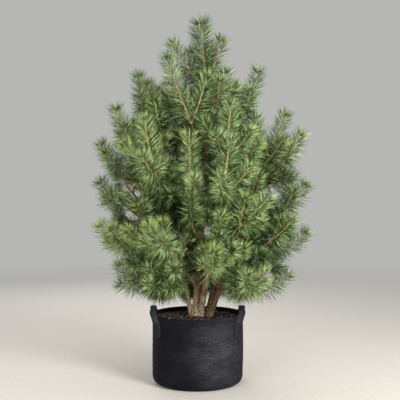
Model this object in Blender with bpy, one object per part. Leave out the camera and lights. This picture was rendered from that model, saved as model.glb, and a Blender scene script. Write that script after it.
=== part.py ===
"""A potted Scots pine: a clump of five stems in a fabric grow bag with two webbing handles.

Metres, +Z up. The origin is the centre of the bag's flat underside, -Y is the front and +X the right.
Round the plant, bearings are in degrees from the front: 90 is the right, 180 the back, 270 the left.
"""

import math
import random
from typing import NamedTuple

import bmesh
import bpy
import numpy as np
from mathutils import Vector

# Grow bag
BAG_RADIUS = 0.210
BAG_HEIGHT = 0.320
BAG_WALL = 0.004
BAG_FOOT_RADIUS = 0.178
BAG_CORNER_HEIGHT = 0.034
BAG_FACETS = 30
HEM_HEIGHT = 0.030
HEM_PROUD = 0.0015

# Webbing handles
STRAP_WIDTH = 0.026
STRAP_THICKNESS = 0.003
STRAP_FOOT_BEARING = 31.0
STRAP_LOW_END = 0.226
STRAP_LEAVES_WALL = 0.258
STRAP_TOP = 0.3515
STRAP_SQUARENESS = 0.75
STRAP_TWISTED_BY = 22.0
STRAP_OVER_RIM_FROM, STRAP_OVER_RIM_TO = 42.0, 85.0
STRAP_TOP_REACH = 0.206

# Potting mix
SOIL_TOP = 0.302
SOIL_EDGE_DROP = 0.005
SOIL_PLATEAU = 0.110

# Fit between neighbouring solids
GAP = 0.0003
WELD = 0.00002

# Limbs
STEM_FLARE = 0.48
FLARE_HEIGHT = 0.028
FOOT_HEIGHT = 0.085
STEM_TIP_RADIUS = 0.0055
STEM_SIDES = 8
STEM_STEPS = 13
BOUGH_SIDES = 6
BOUGH_TIP_RADIUS = 0.0048
BOUGH_SHARE_OF_HOST = 0.62
LOWEST_FORK = 0.115
BOUGH_RISE = 0.50
FORK_SPACING, FORK_SECTOR = 0.036, 75.0
OLD_GROWTH = 0.115
TRUNK_TIP = 0.012
FORK_BELOW_CUT = 0.012

# Shoots and their needles
NEEDLE_LENGTH = 0.075
NEEDLE_PITCH = 0.048
NEEDLE_TURN = 0.62
BARE_PITCH = 0.075
NEEDLE_SPREAD_LOW, NEEDLE_SPREAD_HIGH = 58.0, 34.0
SHORTEST_NEEDLE = 0.40
SHOOT_SIDES = 4
SHOOT_CORE = 0.0112
TWIG_CORE = 0.0048
LATERALS = 4
SHORT_LEAD, SHORT_LATERALS = 0.150, 3
LATERAL_FORK = 44.0
LATERAL_BARE = 0.032
LATERAL_SHARE = (0.64, 0.90)
LATERAL_CUTS = (1.0, 0.85, 0.70)
LEAST_LATERAL = 0.07
SHOOT_UPTURN = 0.35
SHOOT_ROOM = 0.030
SPACE_MARGIN = 0.0022
LIMB_MARGIN = 0.0025
SEED = 7

# The lead shoot leans out further the lower it stands
CROWN_TOP, CROWN_DEPTH = 1.35, 0.85
LEAN_AT_TOP, LEAN_GAIN = 18.0, 42.0
FULL_REACH = 0.36

# How far out side shoots may end, by height
CROWN_OUTLINE = (
    (0.36, 0.300), (0.50, 0.375), (0.62, 0.405), (0.78, 0.430), (0.92, 0.450), (1.06, 0.430),
    (1.16, 0.390), (1.22, 0.290), (1.40, 0.255), (1.50, 0.165), (1.60, 0.060), (1.70, 0.020),
)


class Stem(NamedTuple):
    """A stem of the clump: where it stands in the soil, where its top whorl is, and the length of its lead
    shoot, which leans outwards, turned round from the whorl's bearing by turn."""

    name: str
    foot_bearing: float
    foot_offset: float
    foot_radius: float
    bearing: float
    reach: float
    height: float
    lead: float
    turn: float = 0.0


class Spray(NamedTuple):
    """A mass of shoots: the stem that bears it, the place of its whorl, and the length of its lead shoot.
    The lead leans outwards, turned round from the whorl's bearing by turn."""

    name: str
    host: str
    bearing: float
    reach: float
    height: float
    lead: float
    turn: float = 0.0
    has_bough: bool = False


STEMS = (
    Stem("trunk", 297, 0.011, 0.0165, 90, 0.042, 1.372, 0.282, 180),
    Stem("stem_left", 263, 0.034, 0.0105, 266, 0.238, 1.225, 0.225),
    Stem("stem_front", 62, 0.0175, 0.0145, 25, 0.270, 1.020, 0.220),
    Stem("stem_back", 104, 0.046, 0.0135, 98, 0.212, 1.235, 0.215),
    Stem("stem_right", 84, 0.056, 0.0115, 87, 0.288, 0.990, 0.290),
)

SPRAYS = (
    Spray("front_high", "trunk", 350, 0.150, 1.185, 0.300, -55),
    Spray("left_high", "trunk", 280, 0.165, 1.150, 0.230, -7),
    Spray("right_high", "trunk", 43, 0.125, 1.280, 0.165, 27),
    Spray("back_high", "trunk", 200, 0.130, 1.240, 0.230),
    Spray("front_left_high", "stem_left", 324, 0.310, 0.950, 0.220, -35),
    Spray("left_upper", "stem_left", 282, 0.302, 1.060, 0.165),
    Spray("left_outer", "stem_left", 264, 0.372, 0.975, 0.105),
    Spray("left_middle", "stem_left", 268, 0.345, 0.825, 0.130),
    Spray("left_lower", "stem_left", 284, 0.325, 0.625, 0.135, -13),
    Spray("front_left_lower", "trunk", 338, 0.343, 0.640, 0.130, -24, True),
    Spray("left_low", "stem_left", 285, 0.270, 0.455, 0.120, -14),
    Spray("front_left_low", "trunk", 327, 0.275, 0.480, 0.105),
    Spray("front_foot", "trunk", 0, 0.165, 0.540, 0.070),
    Spray("front_low", "stem_front", 10, 0.320, 0.560, 0.105),
    Spray("front_right_low", "stem_right", 44, 0.322, 0.455, 0.115),
    Spray("right_low", "stem_right", 93, 0.330, 0.424, 0.105),
    Spray("right_lower", "stem_right", 87, 0.385, 0.600, 0.115, 0, True),
    Spray("front_right_side", "stem_right", 57, 0.385, 0.670, 0.120),
    Spray("right_middle", "stem_right", 90, 0.400, 0.790, 0.125, 0, True),
    Spray("right_upper", "stem_back", 107, 0.338, 0.900, 0.160, -10),
    Spray("right_outer", "stem_right", 84, 0.390, 1.010, 0.110),
    Spray("front_right_upper", "stem_front", 55, 0.265, 1.010, 0.130, 25),
    Spray("front_right_middle", "stem_front", 29, 0.367, 0.735, 0.160, 46, True),
    Spray("front_right_centre", "stem_front", 16, 0.335, 0.860, 0.160),
    Spray("front_middle", "trunk", 347, 0.253, 0.950, 0.165),
    Spray("front_centre", "stem_front", 356, 0.335, 0.755, 0.120),
    Spray("front_left_middle", "trunk", 313, 0.315, 0.775, 0.130),
    Spray("back_left_high", "trunk", 222, 0.255, 1.060, 0.200),
    Spray("back_right_high", "stem_back", 148, 0.260, 1.070, 0.200),
    Spray("back_right_upper", "stem_back", 157, 0.345, 0.880, 0.150, 0, True),
    Spray("back_left_upper", "trunk", 207, 0.345, 0.880, 0.150, 0, True),
    Spray("back_left_outer", "stem_left", 240, 0.370, 0.880, 0.140),
    Spray("back_left_middle", "stem_left", 237, 0.375, 0.690, 0.135, 0, True),
    Spray("back_right_middle", "stem_back", 130, 0.380, 0.720, 0.135),
    Spray("back_middle", "trunk", 182, 0.370, 0.680, 0.130, 0, True),
    Spray("back_right_low", "stem_back", 138, 0.320, 0.510, 0.115),
    Spray("back_low", "trunk", 183, 0.300, 0.490, 0.110),
    Spray("back_left_low", "stem_left", 225, 0.320, 0.505, 0.115),
)

UP = Vector((0, 0, 1))
EAST = Vector((1, 0.02, 0.01))


def clear_scene():
    for thing in list(bpy.data.objects):
        bpy.data.objects.remove(thing, do_unlink=True)


def make_material(name, colour, roughness):
    made = bpy.data.materials.new(name)
    made.use_nodes = True
    shader = made.node_tree.nodes["Principled BSDF"]
    shader.inputs["Base Color"].default_value = (*colour, 1)
    shader.inputs["Roughness"].default_value = roughness
    shader.inputs["Metallic"].default_value = 0
    made.diffuse_color = (*colour, 1)
    return made


def make_object(name, mesh_data, material, smooth_angle=None):
    """Links a finished bmesh as a named object."""
    mesh = bpy.data.meshes.new(name)
    mesh_data.to_mesh(mesh)
    mesh_data.free()
    mesh.materials.append(material)
    if smooth_angle is not None:
        mesh.shade_smooth()
        mesh.set_sharp_from_angle(angle=math.radians(smooth_angle))
    thing = bpy.data.objects.new(name, mesh)
    bpy.context.scene.collection.objects.link(thing)
    return thing


# Places and paths


def toward(bearing):
    """The level direction of a bearing."""
    angle = math.radians(bearing)
    return Vector((math.sin(angle), -math.cos(angle), 0))


def smooth_step(value):
    value = min(max(value, 0.0), 1.0)
    return value * value * (3 - 2 * value)


def bend(start, start_way, end, end_way, steps):
    """A smooth cubic path that leaves start along start_way and comes to end along end_way."""
    reach = (end - start).length
    first, last = start_way.normalized() * reach, end_way.normalized() * reach
    path = []
    for step in range(steps + 1):
        t = step / steps
        path.append(
            start * (2 * t**3 - 3 * t**2 + 1)
            + first * (t**3 - 2 * t**2 + t)
            + end * (3 * t**2 - 2 * t**3)
            + last * (t**3 - t**2)
        )
    return path


def lengths_along(path):
    """How far each point lies along the path."""
    found = [0.0]
    for before, after in zip(path, path[1:]):
        found.append(found[-1] + (after - before).length)
    return found


def point_along(path, distance):
    """The point a distance along the path."""
    gone = lengths_along(path)
    distance = min(max(distance, 0.0), gone[-1])
    for i in range(1, len(path)):
        if distance <= gone[i]:
            share = (distance - gone[i - 1]) / max(gone[i] - gone[i - 1], 1e-9)
            return path[i - 1].lerp(path[i], share)
    return path[-1].copy()


def frames_along(path, across=None):
    """At each point, the way along the path and two ways across it, carried along without twist."""
    found = []
    for i in range(len(path)):
        way = (path[min(i + 1, len(path) - 1)] - path[max(i - 1, 0)]).normalized()
        across = way.orthogonal() if across is None else across - way * across.dot(way)
        across = across.normalized()
        found.append((way, across, way.cross(across)))
    return found


def ring_points(centre, frame, radius, sides, turn=0.0):
    """Corners of a cross-section, turned round the path."""
    _, right, over = frame
    corners = []
    for side in range(sides):
        angle = turn + 2 * math.pi * side / sides
        corners.append(centre + (right * math.cos(angle) + over * math.sin(angle)) * radius)
    return corners


def seat_on_plane(corners, way, point, normal):
    """Slides corners along the limb's own direction on to a plane, so that its cut lies along its host."""
    return [c + way * ((point - c).dot(normal) / way.dot(normal)) for c in corners]


# The grow bag, its mix and its handles


def turned(profile, facets):
    """A closed body turned round Z from a profile of (radius, height), its two ends filled flat."""
    shape = bmesh.new()
    corners = [shape.verts.new((radius, 0, height)) for radius, height in profile]
    edges = [shape.edges.new(pair) for pair in zip(corners, corners[1:])]
    bmesh.ops.spin(
        shape, geom=corners + edges, cent=(0, 0, 0), axis=(0, 0, 1),
        angle=2 * math.pi, steps=facets, use_merge=True,
    )
    bmesh.ops.remove_doubles(shape, verts=shape.verts, dist=1e-6)
    bmesh.ops.holes_fill(shape, edges=[e for e in shape.edges if e.is_boundary], sides=0)
    bmesh.ops.recalc_face_normals(shape, faces=shape.faces)
    return shape


def corner_arc(foot, wall, low, high, steps):
    """A quarter of an ellipse from the flat foot up into the wall."""
    arc = []
    for step in range(steps + 1):
        angle = math.pi / 2 * step / steps
        arc.append((foot + (wall - foot) * math.sin(angle), high - (high - low) * math.cos(angle)))
    return arc


def build_bag(felt):
    """A felt tub with a soft lower edge and a doubled hem at its rim."""
    rim = BAG_RADIUS + HEM_PROUD
    inner = BAG_RADIUS - BAG_WALL
    hem_foot = BAG_HEIGHT - HEM_HEIGHT
    outside = corner_arc(BAG_FOOT_RADIUS, BAG_RADIUS, 0, BAG_CORNER_HEIGHT, 3)
    hem = [
        (BAG_RADIUS, hem_foot),
        (rim, hem_foot + 0.002),
        (rim, BAG_HEIGHT - 0.002),
        (rim - 0.002, BAG_HEIGHT),
        (inner + 0.001, BAG_HEIGHT),
        (inner, BAG_HEIGHT - 0.002),
    ]
    inside = corner_arc(BAG_FOOT_RADIUS - BAG_WALL, inner, BAG_WALL, BAG_CORNER_HEIGHT, 3)
    return make_object("grow_bag", turned(outside + hem + inside[::-1], BAG_FACETS), felt, 30)


def build_soil(mix):
    """The potting mix fills the bag to just under its rim, level round the stems."""
    outer = BAG_RADIUS - BAG_WALL - 2 * GAP
    foot = BAG_FOOT_RADIUS - BAG_WALL - 2 * GAP
    profile = corner_arc(foot, outer, BAG_WALL + GAP, BAG_CORNER_HEIGHT, 3)
    profile += [
        (outer, SOIL_TOP - SOIL_EDGE_DROP),
        ((outer + SOIL_PLATEAU) / 2, SOIL_TOP - SOIL_EDGE_DROP / 2),
        (SOIL_PLATEAU, SOIL_TOP),
    ]
    return make_object("potting_mix", turned(profile, BAG_FACETS), mix, 30)


def strap_path():
    """Stations of a handle round its own middle: bearing from it, height, distance out, and share of twist.
    The band turns from flat on the wall to square across it, and keeps its inner edge off the wall."""
    wall = BAG_RADIUS + HEM_PROUD + GAP
    stations = [(-STRAP_FOOT_BEARING, STRAP_LOW_END, BAG_RADIUS + GAP + STRAP_THICKNESS / 2, 0.0)]
    steps = 22
    for step in range(steps + 1):
        turn = math.pi * step / steps
        from_end = math.degrees(min(turn, math.pi - turn))
        side = math.copysign(max(abs(math.cos(turn)), 1e-9) ** STRAP_SQUARENESS, math.cos(turn))
        lift = max(math.sin(turn), 0.0) ** STRAP_SQUARENESS
        twist = smooth_step(from_end / STRAP_TWISTED_BY)
        across = math.radians(90 - STRAP_FOOT_BEARING) * twist
        out = wall + math.cos(across) * STRAP_THICKNESS / 2 + math.sin(across) * STRAP_WIDTH / 2
        span = STRAP_OVER_RIM_TO - STRAP_OVER_RIM_FROM
        out += (STRAP_TOP_REACH - out) * smooth_step((from_end - STRAP_OVER_RIM_FROM) / span)
        height = STRAP_LEAVES_WALL + (STRAP_TOP - STRAP_LEAVES_WALL) * lift
        stations.append((-STRAP_FOOT_BEARING * side, height, out, twist))
    foot_bearing, *foot = stations[0]
    return stations + [(-foot_bearing, *foot)]


def build_handle(name, middle, webbing):
    """A webbing loop: two ends sewn upright on the wall, and an arch between them that turns its edge to
    the bag."""
    stations = strap_path()
    centres = [toward(middle + b) * out + UP * height for b, height, out, _ in stations]
    shape = bmesh.new()
    rings = []
    for i, (bearing, _, _, twist) in enumerate(stations):
        way = centres[min(i + 1, len(centres) - 1)] - centres[max(i - 1, 0)]
        way.normalize()
        outward = toward(middle + bearing)
        round_wall = UP.cross(outward) * (1 if bearing < 0 else -1)
        wide = round_wall.lerp(toward(middle), twist)
        wide = (wide - way * wide.dot(way)).normalized()
        thick = way.cross(wide)
        corners = ((-1, -1), (1, -1), (1, 1), (-1, 1))
        rings.append([
            shape.verts.new(centres[i] + wide * (a * STRAP_WIDTH / 2) + thick * (b * STRAP_THICKNESS / 2))
            for a, b in corners
        ])
    for low, high in zip(rings, rings[1:]):
        for k in range(4):
            shape.faces.new((low[k], low[(k + 1) % 4], high[(k + 1) % 4], high[k]))
    shape.faces.new(rings[0][::-1])
    shape.faces.new(rings[-1])
    bmesh.ops.recalc_face_normals(shape, faces=shape.faces)
    return make_object(name, shape, webbing, 40)


# Stems and boughs


class Limb:
    """A tapering limb: its path, the radius at each point, and the plane of its lower cut if it has one."""

    def __init__(self, name, path, radii, seat=None):
        self.name = name
        self.path = path
        self.radii = radii
        self.seat = seat

    def at_height(self, height):
        """Centre, direction, radius and place along the path where the limb first reaches a height."""
        for i in range(1, len(self.path)):
            low, high = self.path[i - 1], self.path[i]
            if high.z >= height or i == len(self.path) - 1:
                share = min(max((height - low.z) / (high.z - low.z), 0.0), 1.0)
                radius = self.radii[i - 1] + (self.radii[i] - self.radii[i - 1]) * share
                return low.lerp(high, share), (high - low).normalized(), radius, (i - 1, share)

    def rings(self, sides):
        """The corners of every cross-section, the first of them slid on to the lower cut."""
        frames = frames_along(self.path, EAST)
        rings = [ring_points(*parts, sides) for parts in zip(self.path, frames, self.radii)]
        if self.seat:
            rings[0] = seat_on_plane(rings[0], frames[0][0], *self.seat)
        return rings


def lean_way(bearing, reach, height):
    """The direction of a lead shoot: upright near the top and the middle, leaning out lower down."""
    share = min(max((CROWN_TOP - height) / CROWN_DEPTH, 0.0), 1.0)
    lean = (LEAN_AT_TOP + LEAN_GAIN * share) * math.sqrt(reach / FULL_REACH)
    angle = math.radians(min(lean, 84))
    return toward(bearing) * math.sin(angle) + UP * math.cos(angle)


def grow_stem(stem):
    """A stem from its foot in the soil to its top whorl, flared where it stands."""
    foot = toward(stem.foot_bearing) * stem.foot_offset + UP * (SOIL_TOP + GAP)
    top = toward(stem.bearing) * stem.reach + UP * stem.height
    straight = (top - foot).normalized()
    way = lean_way(stem.bearing + stem.turn, stem.reach, stem.height)
    path = bend(foot, UP * 0.10 + straight, top, way * 0.7 + straight * 0.5, STEM_STEPS)
    gone = lengths_along(path)
    radii = []
    for distance, point in zip(gone, path):
        taper = (1 - distance / gone[-1]) ** 0.85
        flare = STEM_FLARE * math.exp(-(point.z - SOIL_TOP) / FLARE_HEIGHT)
        radii.append(STEM_TIP_RADIUS + (stem.foot_radius - STEM_TIP_RADIUS) * taper + stem.foot_radius * flare)
    return Limb(stem.name, path, radii, (foot, UP))


def cut_limb(limb, start, end):
    """The stretch of a limb between two distances along it."""
    gone = lengths_along(limb.path)
    inside = [i for i, g in enumerate(gone) if start + 1e-6 < g < end - 1e-6]
    path = [point_along(limb.path, start), *(limb.path[i] for i in inside), point_along(limb.path, end)]
    radii = [float(np.interp(d, gone, limb.radii)) for d in (start, *(gone[i] for i in inside), end)]
    return Limb(limb.name, path, radii, limb.seat if start == 0 else None)


def fork_height(spray, host, forks):
    """Where a spray's limb leaves its host: well below its whorl, and apart from limbs on the same side."""
    whorl = toward(spray.bearing) * spray.reach
    span = (whorl - host.at_height(spray.height)[0]).xy.length
    top = lengths_along(host.path)[-1] - (TRUNK_TIP if host.name == "trunk" else OLD_GROWTH)
    highest = point_along(host.path, top - FORK_BELOW_CUT).z
    lowest = SOIL_TOP + LOWEST_FORK
    start = min(max(spray.height - BOUGH_RISE * span - 0.03, lowest), highest)
    for step in range(40):
        for height in (start + step * 0.004, start - step * 0.004):
            near = [
                other for name, bearing, other in forks
                if name == host.name and abs((bearing - spray.bearing + 180) % 360 - 180) < FORK_SECTOR
            ]
            if lowest <= height <= highest and all(abs(height - other) >= FORK_SPACING for other in near):
                forks.append((host.name, spray.bearing, height))
                return height
    raise ValueError(spray.name + " finds no free place on its host")


def grow_bough(spray, host, forks):
    """The whole limb that carries a spray, from its host's bark to its whorl."""
    whorl = toward(spray.bearing) * spray.reach + UP * spray.height
    leave = fork_height(spray, host, forks)
    centre, host_way, host_radius, (step, share) = host.at_height(leave)
    outward = whorl - centre
    outward = (outward - host_way * outward.dot(host_way)).normalized()
    low, high = host.rings(STEM_SIDES)[step:step + 2]
    bark = max((a.lerp(b, share) - centre).dot(outward) for a, b in zip(low, high))
    seat_point = centre + outward * (bark + GAP)
    start_way = outward * 0.8 + UP * 0.55
    way = lean_way(spray.bearing + spray.turn * 0.5, spray.reach, spray.height)
    path = bend(seat_point, start_way, whorl, way, 10)
    thick = min(host_radius * BOUGH_SHARE_OF_HOST, 0.0085)
    radii = [thick + (BOUGH_TIP_RADIUS - thick) * i / (len(path) - 1) for i in range(len(path))]
    return Limb("bough_" + spray.name, path, radii, (seat_point, outward))


def limb_shape(limb, sides, spacing=1):
    """A tapering tube along a limb, closed at both ends."""
    shape = bmesh.new()
    rings = limb.rings(sides)
    last = len(rings) - 1
    kept = sorted({*range(0, last, spacing), last})
    rings = [[shape.verts.new(corner) for corner in rings[i]] for i in kept]
    for low, high in zip(rings, rings[1:]):
        for k in range(sides):
            shape.faces.new((low[k], low[(k + 1) % sides], high[(k + 1) % sides], high[k]))
    shape.faces.new(rings[0][::-1])
    shape.faces.new(rings[-1])
    return shape


def keep_largest_shell(mesh):
    """Welds slivers and leaves only the shell that spans the most, so that sealed hollows are filled and
    loose scraps are dropped."""
    shape = bmesh.new()
    shape.from_mesh(mesh)
    bmesh.ops.triangulate(shape, faces=shape.faces)
    bmesh.ops.remove_doubles(shape, verts=shape.verts, dist=WELD)
    bmesh.ops.dissolve_degenerate(shape, edges=shape.edges, dist=WELD)
    unseen = set(shape.faces)
    shells = []
    while unseen:
        shell = [unseen.pop()]
        for face in shell:
            for edge in face.edges:
                for other in edge.link_faces if len(edge.link_faces) == 2 else ():
                    if other in unseen:
                        unseen.remove(other)
                        shell.append(other)
        places = np.array([tuple(vert.co) for face in shell for vert in face.verts])
        shells.append((float(np.ptp(places, axis=0).sum()), shell))
    shells.sort(key=lambda entry: entry[0])
    dropped = [face for _, shell in shells[:-1] for face in shell]
    bmesh.ops.delete(shape, geom=dropped, context="FACES")
    shape.to_mesh(mesh)
    shape.free()


def union_all(base, others, solver):
    """Joins others into base with one Boolean union on their collection, applies it and removes them."""
    group = bpy.data.collections.new("joined_into_" + base.name)
    for other in others:
        bpy.context.scene.collection.objects.unlink(other)
        group.objects.link(other)
    bpy.context.scene.collection.children.link(group)
    joint = base.modifiers.new("union", "BOOLEAN")
    joint.operation = "UNION"
    joint.operand_type = "COLLECTION"
    joint.collection = group
    joint.solver = solver
    graph = bpy.context.evaluated_depsgraph_get()
    mesh = bpy.data.meshes.new_from_object(base.evaluated_get(graph))
    keep_largest_shell(mesh)
    base.modifiers.clear()
    base.data = mesh
    for other in others:
        bpy.data.objects.remove(other, do_unlink=True)
    bpy.data.collections.remove(group)


def build_clump(stems, bark):
    """The trunk with the foot that all the stems share, and each other stem standing on its stub."""
    trunk = stems["trunk"]
    whole = lengths_along(trunk.path)[-1]
    body = make_object("trunk", limb_shape(cut_limb(trunk, 0, whole - TRUNK_TIP), STEM_SIDES), bark, 50)
    stubs = []
    for name, stem in stems.items():
        if name != "trunk":
            stubs.append(make_object("stub_" + name, limb_shape(cut_limb(stem, 0, FOOT_HEIGHT), STEM_SIDES), bark))
            upper = cut_limb(stem, FOOT_HEIGHT + GAP, lengths_along(stem.path)[-1] - OLD_GROWTH)
            make_object(name, limb_shape(upper, STEM_SIDES), bark, 50)
    union_all(body, stubs, "MANIFOLD")


# Shoots and needles


class Shoot(NamedTuple):
    """A needle-bearing shoot: the spray it belongs to, its path, and how far up it the needles begin."""

    spray: str
    path: list
    bare: float
    seat: tuple = None


def turn_about(way, axis, degrees):
    """A direction turned round an axis."""
    angle = math.radians(degrees)
    return way * math.cos(angle) + axis.cross(way) * math.sin(angle) + axis * axis.dot(way) * (1 - math.cos(angle))


def grow_lead(whorl, way, length):
    end = whorl + (way + UP * 0.10).normalized() * length
    return bend(whorl, way, end, way + UP * SHOOT_UPTURN, 6)


def crown_reach(height):
    """How far from the middle of the plant a side shoot may end at a height."""
    heights, reaches = zip(*CROWN_OUTLINE)
    return float(np.interp(height, heights, reaches))


def grow_laterals(whorl, way, length, chance):
    """Paths of the side shoots of a whorl, spaced round the lead and turning up towards their tips. One that
    would leave the crown's outline is grown shorter, or left out."""
    phase = chance.uniform(0, 360)
    count = LATERALS if length > SHORT_LEAD else SHORT_LATERALS
    side = way.orthogonal().normalized()
    paths = []
    for k in range(count):
        around = turn_about(side, way, phase + 360 * k / count + chance.uniform(-14, 14))
        fork = math.radians(LATERAL_FORK + chance.uniform(-6, 8))
        out = way * math.cos(fork) + around * math.sin(fork)
        size = length * chance.uniform(*LATERAL_SHARE)
        for share in LATERAL_CUTS:
            end = whorl + (out + UP * 0.12).normalized() * max(size * share, LEAST_LATERAL)
            if end.xy.length <= crown_reach(end.z):
                paths.append(bend(whorl, out, end, out + UP * SHOOT_UPTURN, 4))
                break
    return paths


def as_segments(path):
    points = np.array([tuple(p) for p in path])
    return points[:-1], points[1:]


def distances(points, starts, ends):
    """Distance of each point from each straight segment."""
    along = ends - starts
    rel = points[:, None, :] - starts[None]
    share = np.clip((rel * along).sum(2) / (along**2).sum(1), 0, 1)
    return np.linalg.norm(rel - share[..., None] * along, axis=2)


class Space:
    """Every axis in the crown, so that each mass can keep to the space that is nearest its own shoots."""

    def __init__(self):
        self.starts = np.zeros((0, 3))
        self.ends = np.zeros((0, 3))
        self.radii = np.zeros(0)
        self.owners = []
        self.shoots = np.zeros(0, int)

    def add(self, path, radii, owner, shoot=-1):
        starts, ends = as_segments(path)
        self.starts = np.vstack([self.starts, starts])
        self.ends = np.vstack([self.ends, ends])
        radii = np.broadcast_to(np.asarray(radii, float), len(path))
        self.radii = np.append(self.radii, np.maximum(radii[:-1], radii[1:]))
        self.owners += [owner] * len(starts)
        self.shoots = np.append(self.shoots, [shoot] * len(starts))

    def nearest_other(self, path, owner):
        """The least distance from a path's points to any axis of another owner, less that axis's radius."""
        points = np.array([tuple(p) for p in path])
        other = np.array([o != owner for o in self.owners])
        if not other.any():
            return 1.0
        found = distances(points, self.starts[other], self.ends[other]) - self.radii[other]
        return float(found.min())

    def room(self, corners, tip, shoot):
        """How much of a needle, from 0 to 1, stays nearest to its own shoot and clear of every limb."""
        feet = np.array([tuple(c) for c in corners])
        feet = np.vstack([feet, feet.mean(0)])
        shares = np.linspace(0.12, 1.0, 12)
        points = feet[None] + shares[:, None, None] * (np.array(tip) - feet[None])
        found = distances(points.reshape(-1, 3), self.starts, self.ends)
        own = found[:, self.shoots == shoot].min(1)
        rivals = found[:, (self.shoots >= 0) & (self.shoots != shoot)].min(1)
        limbs = (found - self.radii)[:, self.shoots < 0].min(1)
        good = (own + SPACE_MARGIN < rivals) & (rivals > SHOOT_CORE * 1.15) & (limbs > LIMB_MARGIN)
        good = good.reshape(len(shares), -1).all(1)
        if good.all():
            return 1.0
        return float(shares[np.argmin(good) - 1]) if good[0] else 0.0


def resampled(path, distances_wanted):
    return [point_along(path, d) for d in distances_wanted]


def shoot_shape(shoot, index, space, chance):
    """A slim four-sided core that turns as it climbs. Each of its faces past the bare stretch is drawn out
    to a point, as a bunch of needles that leans towards the shoot's tip."""
    total = lengths_along(shoot.path)[-1]
    bare_rings = max(1, round(shoot.bare / BARE_PITCH)) if shoot.bare > 0 else 0
    full_rings = max(2, round((total - shoot.bare) / NEEDLE_PITCH))
    stations = [shoot.bare * i / bare_rings for i in range(bare_rings)]
    stations += [shoot.bare + (total - shoot.bare) * i / full_rings for i in range(full_rings + 1)]
    path = resampled(shoot.path, stations)
    frames = frames_along(path)
    shape = bmesh.new()
    rings = []
    for i, station in enumerate(stations):
        thin = TWIG_CORE if station < shoot.bare - 1e-6 else SHOOT_CORE
        radius = thin * (1 - 0.25 * station / total)
        corners = ring_points(path[i], frames[i], radius, SHOOT_SIDES, NEEDLE_TURN * i)
        if i == 0 and shoot.seat:
            corners = seat_on_plane(corners, frames[0][0], *shoot.seat)
        rings.append([shape.verts.new(c) for c in corners])
    for i in range(len(rings) - 1):
        middle = (path[i] + path[i + 1]) / 2
        climb = (stations[i] - shoot.bare) / max(total - shoot.bare, 1e-6)
        spread = math.radians(NEEDLE_SPREAD_LOW + (NEEDLE_SPREAD_HIGH - NEEDLE_SPREAD_LOW) * climb)
        for k in range(SHOOT_SIDES):
            corners = (rings[i][k], rings[i][(k + 1) % SHOOT_SIDES], rings[i + 1][(k + 1) % SHOOT_SIDES], rings[i + 1][k])
            root = sum((c.co for c in corners), Vector()) / len(corners)
            length = NEEDLE_LENGTH * chance.uniform(0.86, 1.06)
            share = 0.0
            if i >= bare_rings:
                out = root - middle
                out = (out - frames[i][0] * out.dot(frames[i][0])).normalized()
                point = out * math.sin(spread) + frames[i][0] * math.cos(spread)
                tip = root + point * length
                share = space.room([c.co for c in corners], tip, index)
            if share < SHORTEST_NEEDLE:
                shape.faces.new(corners)
                continue
            apex = shape.verts.new(root + (tip - root) * share)
            for a, b in zip(corners, corners[1:] + corners[:1]):
                shape.faces.new((a, b, apex))
    shape.faces.new(rings[0][::-1])
    end_way = frames[-1][0]
    tip = path[-1] + end_way * NEEDLE_LENGTH * 0.62
    share = max(space.room([c.co for c in rings[-1]], tip, index), 0.12)
    apex = shape.verts.new(path[-1] + (tip - path[-1]) * share)
    for k in range(SHOOT_SIDES):
        shape.faces.new((rings[-1][k], rings[-1][(k + 1) % SHOOT_SIDES], apex))
    return shape


def plan_plant():
    """All limbs and shoots of the plant, as paths. Returns the stems, the boughs and the shoots."""
    stems = {stem.name: grow_stem(stem) for stem in STEMS}
    space = Space()
    for stem in stems.values():
        space.add(stem.path, stem.radii, stem.name)
    leads, boughs, forks = [], {}, []
    for stem in STEMS:
        limb = stems[stem.name]
        whole = lengths_along(limb.path)[-1]
        start = whole - (TRUNK_TIP if stem.name == "trunk" else OLD_GROWTH) + GAP
        way = lean_way(stem.bearing + stem.turn, stem.reach, stem.height)
        lead = grow_lead(limb.path[-1], way, stem.lead)
        stretch = cut_limb(limb, start, whole).path
        seat = (stretch[0], (stretch[1] - stretch[0]).normalized())
        leads.append((stem.name, stretch[:-1] + lead, 0.0, seat, limb.path[-1], way, stem.lead))
    for spray in SPRAYS:
        limb = grow_bough(spray, stems[spray.host], forks)
        whole = lengths_along(limb.path)[-1]
        way = lean_way(spray.bearing + spray.turn, spray.reach, spray.height)
        lead = grow_lead(limb.path[-1], way, spray.lead)
        if spray.has_bough:
            cut = whole - OLD_GROWTH
            boughs[spray.name] = cut_limb(limb, 0, cut)
            stretch = cut_limb(limb, cut + GAP, whole).path
            seat = (stretch[0], (stretch[1] - stretch[0]).normalized())
            leads.append((spray.name, stretch[:-1] + lead, 0.0, seat, limb.path[-1], way, spray.lead))
        else:
            bare = max(whole - OLD_GROWTH, 0.02)
            leads.append((spray.name, limb.path[:-1] + lead, bare, limb.seat, limb.path[-1], way, spray.lead))
    for name, limb in boughs.items():
        space.add(limb.path, limb.radii, name)
    shoots = []
    for name, path, bare, seat, _, _, _ in leads:
        shoots.append(Shoot(name, path, bare, seat))
        space.add(path, SHOOT_CORE, name, len(shoots) - 1)
    for order, (name, _, _, _, whorl, way, length) in enumerate(leads):
        chance = random.Random(SEED * 1000 + order)
        for path in grow_laterals(whorl, way, length, chance):
            if space.nearest_other(path[1:], name) < SHOOT_ROOM:
                continue
            shoots.append(Shoot(name, path, LATERAL_BARE))
            space.add(path, SHOOT_CORE, name, len(shoots) - 1)
    return stems, boughs, shoots, space


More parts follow.
